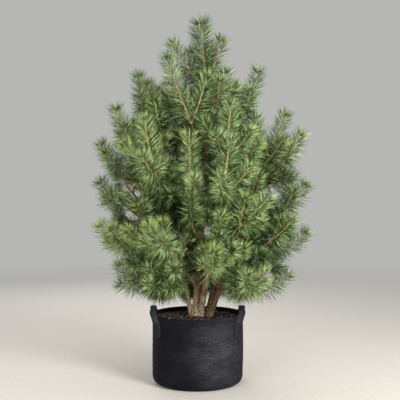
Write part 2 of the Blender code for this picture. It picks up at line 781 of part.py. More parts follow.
def build_masses(shoots, space, green):
    """One solid for each spray: its lead shoot, with its laterals joined in at the whorl."""
    groups = {}
    for index, shoot in enumerate(shoots):
        groups.setdefault(shoot.spray, []).append(index)
    for name, members in groups.items():
        pieces = []
        for index in members:
            chance = random.Random(SEED * 5000 + index)
            shape = shoot_shape(shoots[index], index, space, chance)
            pieces.append(make_object(f"needles_{name}_{index}", shape, green))
        base = pieces[0]
        base.name = "needles_" + name.replace("stem_", "")
        if len(pieces) > 1:
            union_all(base, pieces[1:], "MANIFOLD")


def main():
    clear_scene()
    felt = make_material("black felt", (0.022, 0.023, 0.026), 0.92)
    webbing = make_material("black webbing", (0.016, 0.017, 0.020), 0.80)
    mix = make_material("potting mix", (0.035, 0.022, 0.014), 0.95)
    bark = make_material("bark", (0.165, 0.120, 0.085), 0.90)
    green = make_material("needles", (0.105, 0.205, 0.085), 0.55)
    build_bag(felt)
    build_soil(mix)
    build_handle("handle_left", 270, webbing)
    build_handle("handle_right", 90, webbing)
    stems, boughs, shoots, space = plan_plant()
    build_clump(stems, bark)
    for limb in boughs.values():
        make_object(limb.name, limb_shape(limb, BOUGH_SIDES, 2), bark, 50)
    build_masses(shoots, space, green)


if __name__ == "__main__":
    main()
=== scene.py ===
"""A young Scots pine in a felt grow bag, dressed: bark, twigs, needles, felt, webbing and potting mix.

Metres, +Z up. The origin is the centre of the bag's underside, -Y is the front and +X the right.
Bearings are in degrees round the plant from the front: 90 is the right, 180 the back, 270 the left.
"""

import math
import random
from typing import NamedTuple

import bpy
import numpy as np
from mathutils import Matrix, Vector


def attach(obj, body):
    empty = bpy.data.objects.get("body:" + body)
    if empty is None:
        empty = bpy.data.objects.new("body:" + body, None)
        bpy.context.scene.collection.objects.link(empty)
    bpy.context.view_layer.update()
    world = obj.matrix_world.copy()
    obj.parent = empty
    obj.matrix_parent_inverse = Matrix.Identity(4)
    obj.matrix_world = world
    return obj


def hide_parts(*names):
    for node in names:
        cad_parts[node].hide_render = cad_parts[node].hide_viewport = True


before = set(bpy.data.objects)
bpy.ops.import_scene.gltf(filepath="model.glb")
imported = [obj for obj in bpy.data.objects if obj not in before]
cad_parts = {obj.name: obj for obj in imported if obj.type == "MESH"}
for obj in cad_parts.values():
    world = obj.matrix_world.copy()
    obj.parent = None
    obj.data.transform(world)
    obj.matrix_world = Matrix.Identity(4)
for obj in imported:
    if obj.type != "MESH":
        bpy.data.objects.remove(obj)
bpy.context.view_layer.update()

# Grow bag
BAG_RADIUS, BAG_HEIGHT, BAG_WALL = 0.210, 0.320, 0.004
BAG_FOOT_RADIUS, BAG_CORNER_HEIGHT = 0.178, 0.034
BAG_COLUMNS, BAG_WAVES = 300, 26
WAVE_DEPTH, CREASE_DEPTH, SLACK = 0.0036 * 0.28, 0.0009, 0.0010
CREASE_PITCH = 0.031
HEM_DEPTH, HEM_PROUD = 0.018, 0.0016
SEAM_BEARING, SEAM_WIDTH, SEAM_DEPTH = 5.0, 0.0035, 0.0009
# Middle of the lighter patch on the felt, partly dust and partly painted light where the key light falls
DUST_AND_LIGHT_PLACE = (0.120, -0.175, 0.170)
STITCH_PITCH, HEM_STITCH_RISE = 0.0042, 0.0040
THREAD_RADIUS, THREAD_SIDES = 0.00045, 5

# Webbing handles
STRAP_WIDTH, STRAP_THICKNESS, STRAP_ROLL = 0.030, 0.003, 0.0040
STRAP_FOOT_BEARING = 31.0
STRAP_LOW_END, STRAP_LEAVES_WALL, STRAP_TOP = 0.226, 0.258, 0.3515
STRAP_SQUARENESS, STRAP_TWISTED_BY = 0.75, 22.0
STRAP_OVER_RIM_FROM, STRAP_OVER_RIM_TO, STRAP_TOP_REACH = 42.0, 85.0, 0.206
STRAP_STEPS, STRAP_FOOT_STEPS, STRAP_SIDES = 96, 12, 28
BOX_STITCH_PITCH = 0.0034
# Painted highlight on the inner half of each handle where it rises off the bag: its middle height and half
# height
PAINTED_LIGHT_MIDDLE, PAINTED_LIGHT_HALF_HEIGHT = 0.318, 0.032

# Potting mix
SOIL_TOP, SOIL_EDGE_DROP, SOIL_PLATEAU, SOIL_COLUMNS = 0.302, 0.005, 0.110, 220
CRUMB_SCALES, CRUMB_RELIEF = (35, 60, 110, 180, 260, 380), 0.022
MOUND_HEIGHT, MOUND_REACH = 0.004, 0.07
CHIPS, CHIP_SHARES, CHIP_LENGTHS, GRIT_SIZE = 1500, [0.66, 0.23, 0.11], (0.0022, 0.0062), 0.60

# Limbs, by the same rule as the solids
FOOT_SPREAD, STEM_FLARE, FLARE_SHOWN, FLARE_HEIGHT = 0.11, 0.48, 0.40, 0.028
STEM_TIP_RADIUS, STEM_STEPS = 0.0055, 13
BOUGH_TIP_RADIUS, BOUGH_STEPS = 0.0048, 10
BOUGH_SHARE_OF_HOST, THICKEST_BOUGH, BOUGH_SEAT = 0.62, 0.0085, 0.55
STEM_TAPER, BOUGH_OUT, BOUGH_UP = 0.85, 0.8, 0.55
LOWEST_FORK, BOUGH_RISE, FORK_DROP = 0.115, 0.50, 0.03
FORK_TRIES, FORK_STEP = 40, 0.004
FORK_SPACING, FORK_SECTOR = 0.036, 75.0
OLD_GROWTH, TRUNK_TIP, FORK_BELOW_CUT, SOIL_SINK = 0.115, 0.012, 0.012, 0.014

# Bark
STEM_SIDES, STEM_RINGS, BOUGH_SIDES, BOUGH_RINGS = 44, 0.0036, 18, 0.0062
PLATE_WIDTH, PLATE_LENGTH, CRACK_WIDTH = 0.0085, 0.017, 0.34
PLATE_PROUD, PLATE_VARIES, CRACK_DEPTH, YOUNG_RELIEF = 0.0013, 0.0007, 0.0008, 0.22
OLD_BARK_FROM, OLD_BARK_OVER = 0.0055, 0.0065
FORK_COLLAR, FORK_COLLAR_REACH, FOOT_LOBES = 0.42, 0.010, 0.08
RINGS_EVEN, RINGS_DENSE, PLATES_WANDER = 0.55, 0.45, 0.35

# Shoots, by the same rule as the solids
SHORT_LEAD, LATERALS, SHORT_LATERALS = 0.150, 4, 3
LATERAL_FORK, LEADER_FORK = 40.0, 29.0
LATERAL_BARE, SHADED_BARE, LATERAL_SHARE, LEAST_LATERAL = 0.010, 0.04, (0.64, 0.90), 0.07
SHOOT_CORE, SHOOT_UPTURN, SHOOT_ROOM = 0.0112, 0.55, 0.030
LEAD_RISE, LEAD_STEPS, SIDE_RISE, SIDE_STEPS = 0.10, 6, 0.12, 4
CROWN_TOP, CROWN_DEPTH = 1.35, 0.85
LEAN_AT_TOP, LEAN_GAIN, MOST_LEAN, FULL_REACH = 18.0, 42.0, 84, 0.36
LATERAL_CUTS, LATERAL_TURN_VARIES, LATERAL_FORK_VARIES = (1.0, 0.85, 0.70), 14, (-6, 8)
EXTRA_OUTWARD, EXTRA_STEPS = 0.3, 5
AXIS_RING, AXIS_SIDES, AXIS_TAPER = 0.013, 7, 0.34
AXIS_COLLAR, AXIS_COLLAR_REACH = 0.35, 0.006
AXIS_LEAST, AXIS_GAIN, AXIS_MOST = 0.0012, 0.015, 0.0056
BUD, SIDE_BUD, BUD_RINGS, BUD_SIDES = (0.014, 0.0030), (0.008, 0.0018), 5, 6
SIDE_BUDS, SIDE_BUD_LEAN, SIDE_BUD_TURN, BUD_SEAT, BUD_SINK = 3, 0.42, 2.1, 0.003 * 0.6, 0.002
SEED = 7

# How far out side shoots may end, by height
CROWN_OUTLINE = (
    (0.36, 0.300), (0.50, 0.375), (0.62, 0.405), (0.78, 0.430), (0.92, 0.450), (1.06, 0.430),
    (1.16, 0.390), (1.22, 0.290), (1.40, 0.255), (1.50, 0.165), (1.60, 0.060), (1.70, 0.020),
)

# Finer twigs, which only the dressed plant has
TWIG_WHORL, TWIG_TRIES, TWIG_FORK, TWIG_LENGTH = 4, 7, 52.0, (0.085, 0.150)
TWIG_ROOM, TWIG_BARE, TWIG_FLOOR = 0.019, 0.010, 0.425
STEM_BARE, LIMB_BARE, STEM_BARE_BELOW = 0.12, 0.075, 0.560
TWIG_FORK_VARIES, TWIG_SPACING, TWIG_CORE = (-8, 10), (0.85, 1.1), 0.5

# Places where the crown stands open to someone in front: across, height, half width, half height, how far
# the gap slopes down to the right in degrees, all in the plane of the trunk, the share of needles that stay,
# and how far back the gap goes
EYE = np.array([0.011, -3.3, 0.845])
OPENINGS = (
    (0.026, 0.346, 0.088, 0.040, 0, 0.08, 1.0),
    (0.036, 0.402, 0.013, 0.040, 0, 0.06, 1.0),
    (0.046, 0.704, 0.025, 0.028, 0, 0.16, 1.0),
    (-0.316, 0.893, 0.066, 0.027, 38, 0.12, 1.0),
    (-0.298, 0.772, 0.052, 0.024, 8, 0.12, 1.0),
    (0.352, 0.905, 0.040, 0.022, -30, 0.13, 1.0),
    (0.330, 0.500, 0.030, 0.020, 0, 0.10, 1.0),
    (-0.010, 0.455, 0.052, 0.080, 0, 0.20, -0.02),
    (0.055, 0.445, 0.045, 0.060, 0, 0.34, -0.02),
    (0.000, 0.620, 0.040, 0.120, 0, 0.40, -0.02),
    (-0.106, 1.092, 0.062, 0.034, 50, 0.36, -0.06),
    (0.053, 1.032, 0.024, 0.110, 0, 0.34, -0.06),
    (-0.086, 0.812, 0.042, 0.056, 0, 0.30, -0.06),
    (-0.036, 1.190, 0.036, 0.028, 0, 0.30, -0.04),
    (-0.036, 0.545, 0.024, 0.115, -4, 0.14, -0.03),
)
TWIGS_KEEP_OUT, GAP_WAVE, GAP_WAVES, GAP_EDGE = 0.15, 0.22, 3, 4

# Needles. Spreads are in degrees from the shoot
NEEDLE_LENGTH, NEEDLE_WIDTH, NEEDLE_LENGTHS = 0.076, 0.0019, (0.80, 1.06)
PAIRS_A_METRE, OLD_PAIRS_SHARE, TUFT_PAIRS = 1130, 0.72, 27
TIP_GROWS_ON = 0.008
LEADER_FULLNESS, LEADER_NEEDLES = 1.75, 1.20
GOLDEN_ANGLE = math.pi * (3 - math.sqrt(5))
OLD_SPREAD, NEW_SPREAD, SPREAD_VARIES, TUFT_WIDEST = 84, 86, 8, 70
NARROWS, LEADER_NARROWS, TUFT_TIGHTEST, LEADER_TUFT_TIGHTEST = 36, 20, 16, 42
OLD_SAG, NEW_SAG, OLD_SIZE, TIP_SHORTER = 0.30, 0.26, 0.88, 0.16
PAIR_TURNS, LEANS_VARY, SAG_VARIES = (0.03, 0.13), 0.07, (-0.06, 0.08)
TURNS_VARY, STATIONS_VARY = 0.16, 0.0012
NEEDLE_SEAT, BOWED_AT, BOWED_BY = 0.0016, 0.44, 0.15
FRAME_STEPS, MOST_NEEDLES = 24, 31000

# Tones of needles, dark to light, and two more for fresh tips. Levels count in tones. The darkest tones
# stand partly for painted shade between needles, and the light tone partly for painted highlights.
NEEDLE_COLOURS = {
    "deep": (31, 48, 16), "shade": (61, 88, 38), "blue": (90, 120, 69), "mid": (122, 150, 82),
    "light": (185, 204, 147), "fresh": (146, 164, 66), "tip": (176, 194, 100),
}
# Tone level and how it shifts; the drops inside the crown and high in it are painted shade
TONE_LEVEL, SHOOTS_VARY, NEEDLES_VARY, TIP_LIFT, OLD_DROP, INNER_PAINTED_SHADE = 2.26, 0.28, 2.0, 0.32, 1.0, 1.15
HIGH_PAINTED_SHADE = ((0.48, 1.10, 0.35), (0.55, 1.44, 0.12))
RIPE_CHANCE, FRESH_CHANCE, YELLOW_AT_FOOT, YELLOW_GAIN, TIP_SHARE = 0.14, 0.50, 0.05, 0.50, 0.28
# Sprays whose lift is below this, darkened as painted shade, get the darker twig bark on their axes
PAINTED_SHADE_BELOW = -1.0

UP = np.array([0.0, 0.0, 1.0])
EAST = np.array([1.0, 0.02, 0.01])


class Spray(NamedTuple):
    """A mass of shoots: the stem that bears it, the place of its whorl, and the length of its lead shoot. The
    lead leans outwards by so many times the usual, turned round from the whorl's bearing by turn. Its needles
    are lighter or darker than the rest by lift, which is painted light and painted shade, and yellow-green at
    the tips of a fresh one. The top of a stem is a spray that no other stem bears."""

    name: str
    host: str
    bearing: float
    reach: float
    height: float
    lead: float
    lean: float = 1.0
    turn: float = 0.0
    lift: float = 0.0
    fresh: bool = False


SPRAYS = [Spray(*row) for row in (
    ("trunk", "", 90, 0.042, 1.372, 0.287, 1, 180, -0.05),
    ("stem_left", "", 266, 0.238, 1.225, 0.193, 0.66, 0, -0.35),
    ("stem_front", "", 25, 0.270, 1.020, 0.230, 0.75, -6, -0.30),
    ("stem_back", "", 98, 0.212, 1.235, 0.215, 1.2),
    ("stem_right", "", 87, 0.288, 0.990, 0.262, 0.88, 0, -0.60),
    ("front_high", "trunk", 350, 0.150, 1.185, 0.300, 1.32, -78, 0.25),
    ("left_high", "trunk", 280, 0.165, 1.150, 0.230, 1, -7, -0.60),
    ("right_high", "trunk", 43, 0.125, 1.280, 0.138, 1.5, 40),
    ("back_high", "trunk", 200, 0.130, 1.240, 0.230, 1, 0, -0.60),
    ("front_left_high", "stem_left", 324, 0.310, 0.950, 0.235, 0.48, -8),
    ("left_upper", "stem_left", 282, 0.302, 1.060, 0.200, 0.8, 0, -0.45),
    ("left_outer", "stem_left", 264, 0.372, 0.975, 0.145, 1, 0, -0.50, True),
    ("left_middle", "stem_left", 268, 0.345, 0.825, 0.138, 1.22, 0, -0.60),
    ("left_lower", "stem_left", 284, 0.325, 0.625, 0.152, 1.12, -13, 0.90, True),
    ("front_left_lower", "trunk", 338, 0.343, 0.640, 0.130, 1, -24, 0.45, True),
    ("left_low", "stem_left", 285, 0.270, 0.455, 0.120, 1, -14, -0.40),
    ("front_left_low", "trunk", 327, 0.275, 0.480, 0.105, 1, 0, -0.70),
    ("front_foot", "trunk", 0, 0.165, 0.540, 0.070, 1, 0, -0.50),
    ("front_low", "stem_front", 10, 0.320, 0.560, 0.105, 1, 0, 0.20, True),
    ("front_right_low", "stem_right", 44, 0.322, 0.455, 0.115, 1, 0, 0.45),
    ("right_low", "stem_right", 93, 0.330, 0.424, 0.105, 1, 0, -0.35),
    ("right_lower", "stem_right", 87, 0.385, 0.600, 0.136, 1, 0, -0.95),
    ("front_right_side", "stem_right", 57, 0.385, 0.670, 0.120, 1, 0, -1.00),
    ("right_middle", "stem_right", 90, 0.400, 0.790, 0.150, 0.94, 0, -0.85),
    ("right_upper", "stem_back", 107, 0.338, 0.900, 0.160, 1, -10, -0.35),
    ("right_outer", "stem_right", 84, 0.390, 1.010, 0.148, 1, 0, -0.60, True),
    ("front_right_upper", "stem_front", 55, 0.265, 1.010, 0.135, 0.40, 0, -0.40, True),
    ("front_right_middle", "stem_front", 29, 0.367, 0.735, 0.160, 1, 46, 0, True),
    ("front_right_centre", "stem_front", 19, 0.335, 0.860, 0.235, 0.45, 0, 0, True),
    ("front_middle", "trunk", 353, 0.253, 0.950, 0.168, 0.50, 0, 0.80),
    ("front_centre", "stem_front", 356, 0.335, 0.755, 0.120, 1, 0, -1.30),
    ("front_left_middle", "trunk", 313, 0.315, 0.775, 0.130, 1, 0, -1.20),
    ("back_left_high", "trunk", 222, 0.255, 1.060, 0.200),
    ("back_right_high", "stem_back", 148, 0.260, 1.070, 0.200, 1, 0, 0, True),
    ("back_right_upper", "stem_back", 157, 0.345, 0.880, 0.150),
    ("back_left_upper", "trunk", 207, 0.345, 0.880, 0.150, 1, 0, -0.60),
    ("back_left_outer", "stem_left", 240, 0.370, 0.880, 0.140),
    ("back_left_middle", "stem_left", 237, 0.375, 0.690, 0.135, 1, 0, -0.60),
    ("back_right_middle", "stem_back", 130, 0.380, 0.720, 0.135, 1, 0, 0, True),
    ("back_middle", "trunk", 182, 0.370, 0.680, 0.130, 1, 0, -0.60),
    ("back_right_low", "stem_back", 138, 0.320, 0.510, 0.115, 1, 0, 0, True),
    ("back_low", "trunk", 183, 0.300, 0.490, 0.110, 1, 0, -0.60),
    ("back_left_low", "stem_left", 225, 0.320, 0.505, 0.115, 1, 0, -0.60),
)]
BY_NAME = {spray.name: spray for spray in SPRAYS}

# Where each stem stands in the soil: bearing, offset, radius, and its share of the outward spread at the foot
FEET = {
    "trunk": (297, 0.011, 0.0165, 0.0),
    "stem_left": (263, 0.026, 0.0105, 0.4),
    "stem_front": (62, 0.0130, 0.0145, 1.0),
    "stem_back": (104, 0.046, 0.0135, 1.0),
    "stem_right": (84, 0.056, 0.0115, 1.0),
}
# Stems at the back and right, whose bark is darkened as painted shade
PAINTED_SHADE_STEMS = ("stem_back", "stem_right")

# Shoots beside those of the solids: the stem, the height where they leave it, the place where they end, and
# how much lighter their needles are as painted light, or SHADED for those inside the crown, whose needles
# and axes are darkened as painted shade
SHADED = None
EXTRA_SHOOTS = (
    ("trunk", 1.330, -0.110, 0.010, 1.566, 0),
    ("trunk", 1.372, -0.026, 0.060, 1.535, 0),
    ("trunk", 1.368, 0.106, -0.020, 1.572, 0),
    ("trunk", 1.170, -0.150, -0.030, 1.315, 0),
    ("trunk", 1.110, -0.128, 0.090, 1.250, SHADED),
    ("trunk", 1.050, -0.168, 0.060, 1.215, SHADED),
    ("trunk", 1.150, -0.150, 0.100, 1.315, SHADED),
    ("trunk", 1.000, -0.075, 0.020, 1.120, SHADED),
    ("stem_front", 0.640, 0.098, -0.345, 0.772, 0.7),
    ("trunk", 0.800, -0.014, -0.335, 0.925, 1.0),
    ("stem_left", 0.430, -0.094, -0.285, 0.610, 1.2),
    ("stem_left", 0.600, -0.300, -0.215, 0.705, 0.9),
    ("stem_right", 0.480, 0.190, -0.300, 0.635, 0.5),
    ("stem_right", 0.800, 0.255, -0.200, 0.935, 0.9),
    ("trunk", 1.120, 0.088, 0.085, 1.265, SHADED),
    ("trunk", 0.480, -0.060, 0.170, 0.405, SHADED),
    ("stem_back", 0.460, 0.085, 0.190, 0.402, SHADED),
    ("stem_left", 0.470, -0.150, 0.090, 0.395, SHADED),
    ("stem_right", 0.470, 0.175, 0.090, 0.395, SHADED),
    ("stem_back", 0.440, -0.002, 0.205, 0.375, SHADED),
    ("trunk", 0.455, -0.050, 0.225, 0.372, SHADED),
    ("trunk", 0.440, -0.030, 0.120, 0.385, SHADED),
)

# Side shoots of the solids that are left out, so that the leads behind them show
LEFT_OUT = {
    "trunk": (0, 1, 2), "front_high": (0, 1), "front_middle": (0, 1, 2), "front_right_centre": (2,),
    "front_left_high": (2,), "front_centre": (0, 1, 2),
}

MASS_NODES = sorted(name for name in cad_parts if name.startswith("needles_"))
BOUGH_NODES = sorted(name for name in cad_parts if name.startswith("bough_"))


# Meshes


class Heap:
    """Places, faces of three or four corners, and values at the places, gathered for one mesh."""

    def __init__(self):
        self.places, self.threes, self.fours, self.values, self.count = [], [], [], {}, 0

    def add(self, places, threes=(), fours=(), **values):
        places = np.asarray(places, float).reshape(-1, 3)
        self.threes.append(np.asarray(threes, int).reshape(-1, 3) + self.count)
        self.fours.append(np.asarray(fours, int).reshape(-1, 4) + self.count)
        for name, value in values.items():
            self.values.setdefault(name, []).append(value)
        self.places.append(places)
        self.count += len(places)


def make_piece(name, heap, finish, nodes, smooth=True):
    """Puts a heap into a named mesh, which rides on the plant's one body and stands for the nodes."""
    places, threes, fours = (np.concatenate(part) for part in (heap.places, heap.threes, heap.fours))
    mesh = bpy.data.meshes.new(name)
    mesh.vertices.add(len(places))
    mesh.vertices.foreach_set("co", places.ravel())
    mesh.loops.add(threes.size + fours.size)
    mesh.loops.foreach_set("vertex_index", np.concatenate([threes.ravel(), fours.ravel()]))
    mesh.polygons.add(len(threes) + len(fours))
    starts = [np.arange(len(threes)) * 3, threes.size + np.arange(len(fours)) * 4]
    mesh.polygons.foreach_set("loop_start", np.concatenate(starts))
    for label, parts in heap.values.items():
        mesh.attributes.new(label, "FLOAT", "POINT").data.foreach_set("value", np.concatenate(parts))
    mesh.update(calc_edges=True)
    mesh.validate()
    if smooth:
        mesh.shade_smooth()
    mesh.materials.append(finish)
    piece = bpy.data.objects.new(name, mesh)
    bpy.context.scene.collection.objects.link(piece)
    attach(piece, "root")
    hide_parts(*nodes)


def wrapped_faces(rows, columns):
    """Quads of a grid of rows whose last column meets its first, facing out where a row runs anticlockwise
    seen from the end of the rows."""
    row, column = np.meshgrid(np.arange(rows - 1), np.arange(columns), indexing="ij")
    beside = (column + 1) % columns
    corners = [row * columns + column, row * columns + beside,
               (row + 1) * columns + beside, (row + 1) * columns + column]
    return np.stack(corners, -1).reshape(-1, 4)


def closed_grid(heap, grid, **values):
    """Adds a tube given as a grid of rings, its two ends closed by a fan round the middle of the ring."""
    rows, columns = grid.shape[:2]
    ring = np.arange(columns)
    beside, last, low = (ring + 1) % columns, (rows - 1) * columns, rows * columns
    fans = [np.stack([beside, ring, np.full(columns, low)], -1),
            np.stack([last + ring, last + beside, np.full(columns, low + 1)], -1)]
    spread = {}
    for name, value in values.items():
        value = np.broadcast_to(value, (rows, columns))
        spread[name] = np.concatenate([value.ravel(), [value[0].mean(), value[-1].mean()]])
    places = np.concatenate([grid.reshape(-1, 3), [grid[0].mean(0), grid[-1].mean(0)]])
    heap.add(places, np.concatenate(fans), wrapped_faces(rows, columns), **spread)


# Places and paths


def unit(ways):
    return ways / np.linalg.norm(ways, axis=-1, keepdims=True)


def toward(bearing):
    """The level direction of a bearing."""
    angle = np.radians(bearing)
    return np.stack([np.sin(angle), -np.cos(angle), np.zeros_like(angle)], -1)


def turns(count):
    """Angles evenly round a full turn."""
    return np.arange(count) * 2 * math.pi / count


def around(first, second, angle):
    """Ways round a ring: cos a times the first way and sin a times the second, for each pair of ways."""
    return first[..., None, :] * np.cos(angle)[:, None] + second[..., None, :] * np.sin(angle)[:, None]


def smooth_step(value):
    """Rises from 0 at 0 to 1 at 1 as 3 v squared less 2 v cubed."""
    value = np.clip(value, 0, 1)
    return value * value * (3 - 2 * value)


def cubic(start, first, end, last, t):
    """Points at the shares t of a cubic that leaves start by the slope first and comes to end by last."""
    return (
        start * (2 * t**3 - 3 * t**2 + 1) + first * (t**3 - 2 * t**2 + t)
        + end * (3 * t**2 - 2 * t**3) + last * (t**3 - t**2)
    )


def bend(start, start_way, end, end_way, steps):
    """A smooth cubic path that leaves start along start_way and comes to end along end_way."""
    reach = np.linalg.norm(end - start)
    t = np.linspace(0, 1, steps + 1)[:, None]
    return cubic(start, unit(start_way) * reach, end, unit(end_way) * reach, t)


def lengths_along(path):
    """How far each point lies along the path."""
    return np.concatenate([[0.0], np.cumsum(np.linalg.norm(np.diff(path, axis=0), axis=1))])


def point_along(path, distance):
    """The point a distance along the straight steps of the path."""
    gone = lengths_along(path)
    return np.array([np.interp(distance, gone, path[:, k]) for k in range(3)])


def smooth_points(path, wanted):
    """Points at the distances wanted on a cubic through the path's own points, whose slope at each point is
    that of the path there."""
    gone = lengths_along(path)
    slope = np.gradient(path, gone, axis=0)
    i = np.clip(np.searchsorted(gone, wanted, side="right") - 1, 0, len(path) - 2)
    span = (gone[i + 1] - gone[i])[:, None]
    t = (np.asarray(wanted)[:, None] - gone[i][:, None]) / span
    return cubic(path[i], slope[i] * span, path[i + 1], slope[i + 1] * span, t)


def frames_along(path):
    """At each point the way along the path, and two ways across it that turn with it and don't twist."""
    chord = path[-1] - path[0]
    side = np.cross(UP, chord)
    side = EAST if np.linalg.norm(side) < 0.12 * np.linalg.norm(chord) else unit(side)
    way = unit(np.gradient(path, axis=0))
    right = unit(side - way * (way @ side)[:, None])
    return way, right, np.cross(way, right)


def round_tube(path, radii, sides):
    """Rings round a path: centre + (cos a times right + sin a times over) times radius. The radii are one a
    ring, or one a corner."""
    _, right, over = frames_along(path)
    return path[:, None] + around(right, over, turns(sides)) * radii[..., None]


# Growth


class Limb(NamedTuple):
    """A tapering limb: its path and the radius at each point."""

    name: str
    path: np.ndarray
    radii: np.ndarray

    def at_height(self, height):
        """Centre, direction and radius where the limb first reaches a height."""
        above = np.nonzero(self.path[1:, 2] >= height)[0]
        i = int(above[0]) if len(above) else len(self.path) - 2
        low, high = self.path[i], self.path[i + 1]
        share = min(max((height - low[2]) / (high[2] - low[2]), 0.0), 1.0)
        radius = self.radii[i] + (self.radii[i + 1] - self.radii[i]) * share
        return low + (high - low) * share, unit(high - low), radius


class Shoot(NamedTuple):
    """A needle-bearing shoot: its mass, its path, how far up it the needles begin, where its new growth
    begins, whether it is inside the crown, which darkens its needles as painted shade, and how much lighter
    its needles are than its mass's, as painted light."""

    mass: str
    path: np.ndarray
    bare: float
    new_from: float
    inner: bool = False
    lift: float = 0.0


def lean_way(bearing, reach, height, more=1.0):
    """The direction of a lead shoot: upright near the top and the middle, leaning out lower down."""
    share = min(max((CROWN_TOP - height) / CROWN_DEPTH, 0.0), 1.0)
    lean = (LEAN_AT_TOP + LEAN_GAIN * share) * math.sqrt(reach / FULL_REACH) * more
    angle = math.radians(min(lean, MOST_LEAN))
    return toward(bearing) * math.sin(angle) + UP * math.cos(angle)


def grow_stem(top):
    """A stem from its foot in the soil to its top whorl, flared where it stands: the radius falls as the
    share of length still to go, to a power, and the flare dies away with height."""
    foot_bearing, foot_offset, foot_radius, apart = FEET[top.name]
    foot = toward(foot_bearing) * foot_offset + UP * SOIL_TOP
    whorl = toward(top.bearing) * top.reach + UP * top.height
    straight = unit(whorl - foot)
    way = lean_way(top.bearing + top.turn, top.reach, top.height)
    start_way = UP * 0.10 + straight + toward(top.bearing) * (apart * FOOT_SPREAD)
    path = bend(foot, start_way, whorl, way * 0.7 + straight * 0.5, STEM_STEPS)
    gone = lengths_along(path)
    taper = (1 - gone / gone[-1]) ** STEM_TAPER
    flare = STEM_FLARE * FLARE_SHOWN * np.exp(-(path[:, 2] - SOIL_TOP) / FLARE_HEIGHT)
    radii = STEM_TIP_RADIUS + (foot_radius - STEM_TIP_RADIUS) * taper + foot_radius * flare
    return Limb(top.name, path, radii)


def fork_height(spray, host, forks):
    """Where a spray's limb leaves its host: well below its whorl, and apart from limbs on the same side."""
    span = np.linalg.norm((toward(spray.bearing) * spray.reach - host.at_height(spray.height)[0])[:2])
    top = lengths_along(host.path)[-1] - (TRUNK_TIP if host.name == "trunk" else OLD_GROWTH)
    highest = point_along(host.path, top - FORK_BELOW_CUT)[2]
    lowest = SOIL_TOP + LOWEST_FORK
    start = min(max(spray.height - BOUGH_RISE * span - FORK_DROP, lowest), highest)
    near = [
        other for name, bearing, other in forks
        if name == host.name and abs((bearing - spray.bearing + 180) % 360 - 180) < FORK_SECTOR
    ]
    for step in range(FORK_TRIES):
        for height in (start + step * FORK_STEP, start - step * FORK_STEP):
            if lowest <= height <= highest and all(abs(height - other) >= FORK_SPACING for other in near):
                forks.append((host.name, spray.bearing, height))
                return height
    return start


def grow_bough(spray, host, forks):
    """The whole limb that carries a spray, from inside its host's bark to its whorl, evenly tapered."""
    whorl = toward(spray.bearing) * spray.reach + UP * spray.height
    centre, host_way, host_radius = host.at_height(fork_height(spray, host, forks))
    outward = whorl - centre
    outward = unit(outward - host_way * (outward @ host_way))
    seat = centre + outward * host_radius * BOUGH_SEAT
    way = lean_way(spray.bearing + spray.turn * 0.5, spray.reach, spray.height)
    path = bend(seat, outward * BOUGH_OUT + UP * BOUGH_UP, whorl, way, BOUGH_STEPS)
    thick = min(host_radius * BOUGH_SHARE_OF_HOST, THICKEST_BOUGH)
    return Limb("bough_" + spray.name, path, np.linspace(thick, BOUGH_TIP_RADIUS, BOUGH_STEPS + 1))


def grow_shoot(start, way, length, rise, steps):
    """A shoot that leaves along way, rises a little and turns up towards its tip."""
    end = start + unit(way + UP * rise) * length
    return bend(start, way, end, way + UP * SHOOT_UPTURN, steps)


def side_way(way, turn, fork):
    """A direction that leaves way by the fork angle, turned round it, both in degrees."""
    side = np.array(Vector(way).orthogonal().normalized())
    turn, fork = math.radians(turn), math.radians(fork)
    out = side * math.cos(turn) + np.cross(way, side) * math.sin(turn)
    return way * math.cos(fork) + out * math.sin(fork)


def is_inside(path):
    """Whether a side shoot ends within the crown's outline."""
    return np.hypot(*path[-1][:2]) <= float(np.interp(path[-1][2], *zip(*CROWN_OUTLINE)))


def grow_laterals(whorl, way, length, fork, chance):
    """Paths of the side shoots of a whorl, spaced round the lead. One that would leave the crown's outline is
    grown shorter, or left out."""
    phase = chance.uniform(0, 360)
    count = LATERALS if length > SHORT_LEAD else SHORT_LATERALS
    paths = []
    for k in range(count):
        turn = phase + 360 * k / count + chance.uniform(-LATERAL_TURN_VARIES, LATERAL_TURN_VARIES)
        out = side_way(way, turn, fork + chance.uniform(*LATERAL_FORK_VARIES))
        size = length * chance.uniform(*LATERAL_SHARE)
        for share in LATERAL_CUTS:
            path = grow_shoot(whorl, out, max(size * share, LEAST_LATERAL), SIDE_RISE, SIDE_STEPS)
            if is_inside(path):
                paths.append(path)
                break
    return paths


class Space:
    """Every axis in the crown, as straight steps with a radius and an owner."""

    def __init__(self):
        self.starts, self.ends, self.radii, self.owners = np.zeros((0, 3)), np.zeros((0, 3)), np.zeros(0), []

    def add(self, path, radii, owner):
        self.starts = np.vstack([self.starts, path[:-1]])
        self.ends = np.vstack([self.ends, path[1:]])
        radii = np.broadcast_to(np.asarray(radii, float), len(path))
        self.radii = np.append(self.radii, np.maximum(radii[:-1], radii[1:]))
        self.owners += [owner] * (len(path) - 1)

    def clearance(self, points, owner=None):
        """The least distance from any of the points to an axis of another owner, less its radius."""
        other = np.array([o != owner for o in self.owners])
        starts, along = self.starts[other], self.ends[other] - self.starts[other]
        rel = points[:, None, :] - starts[None]
        share = np.clip((rel * along).sum(2) / (along**2).sum(1), 0, 1)
        gaps = np.linalg.norm(rel - share[..., None] * along, axis=2) - self.radii[other]
        return float(gaps.min())


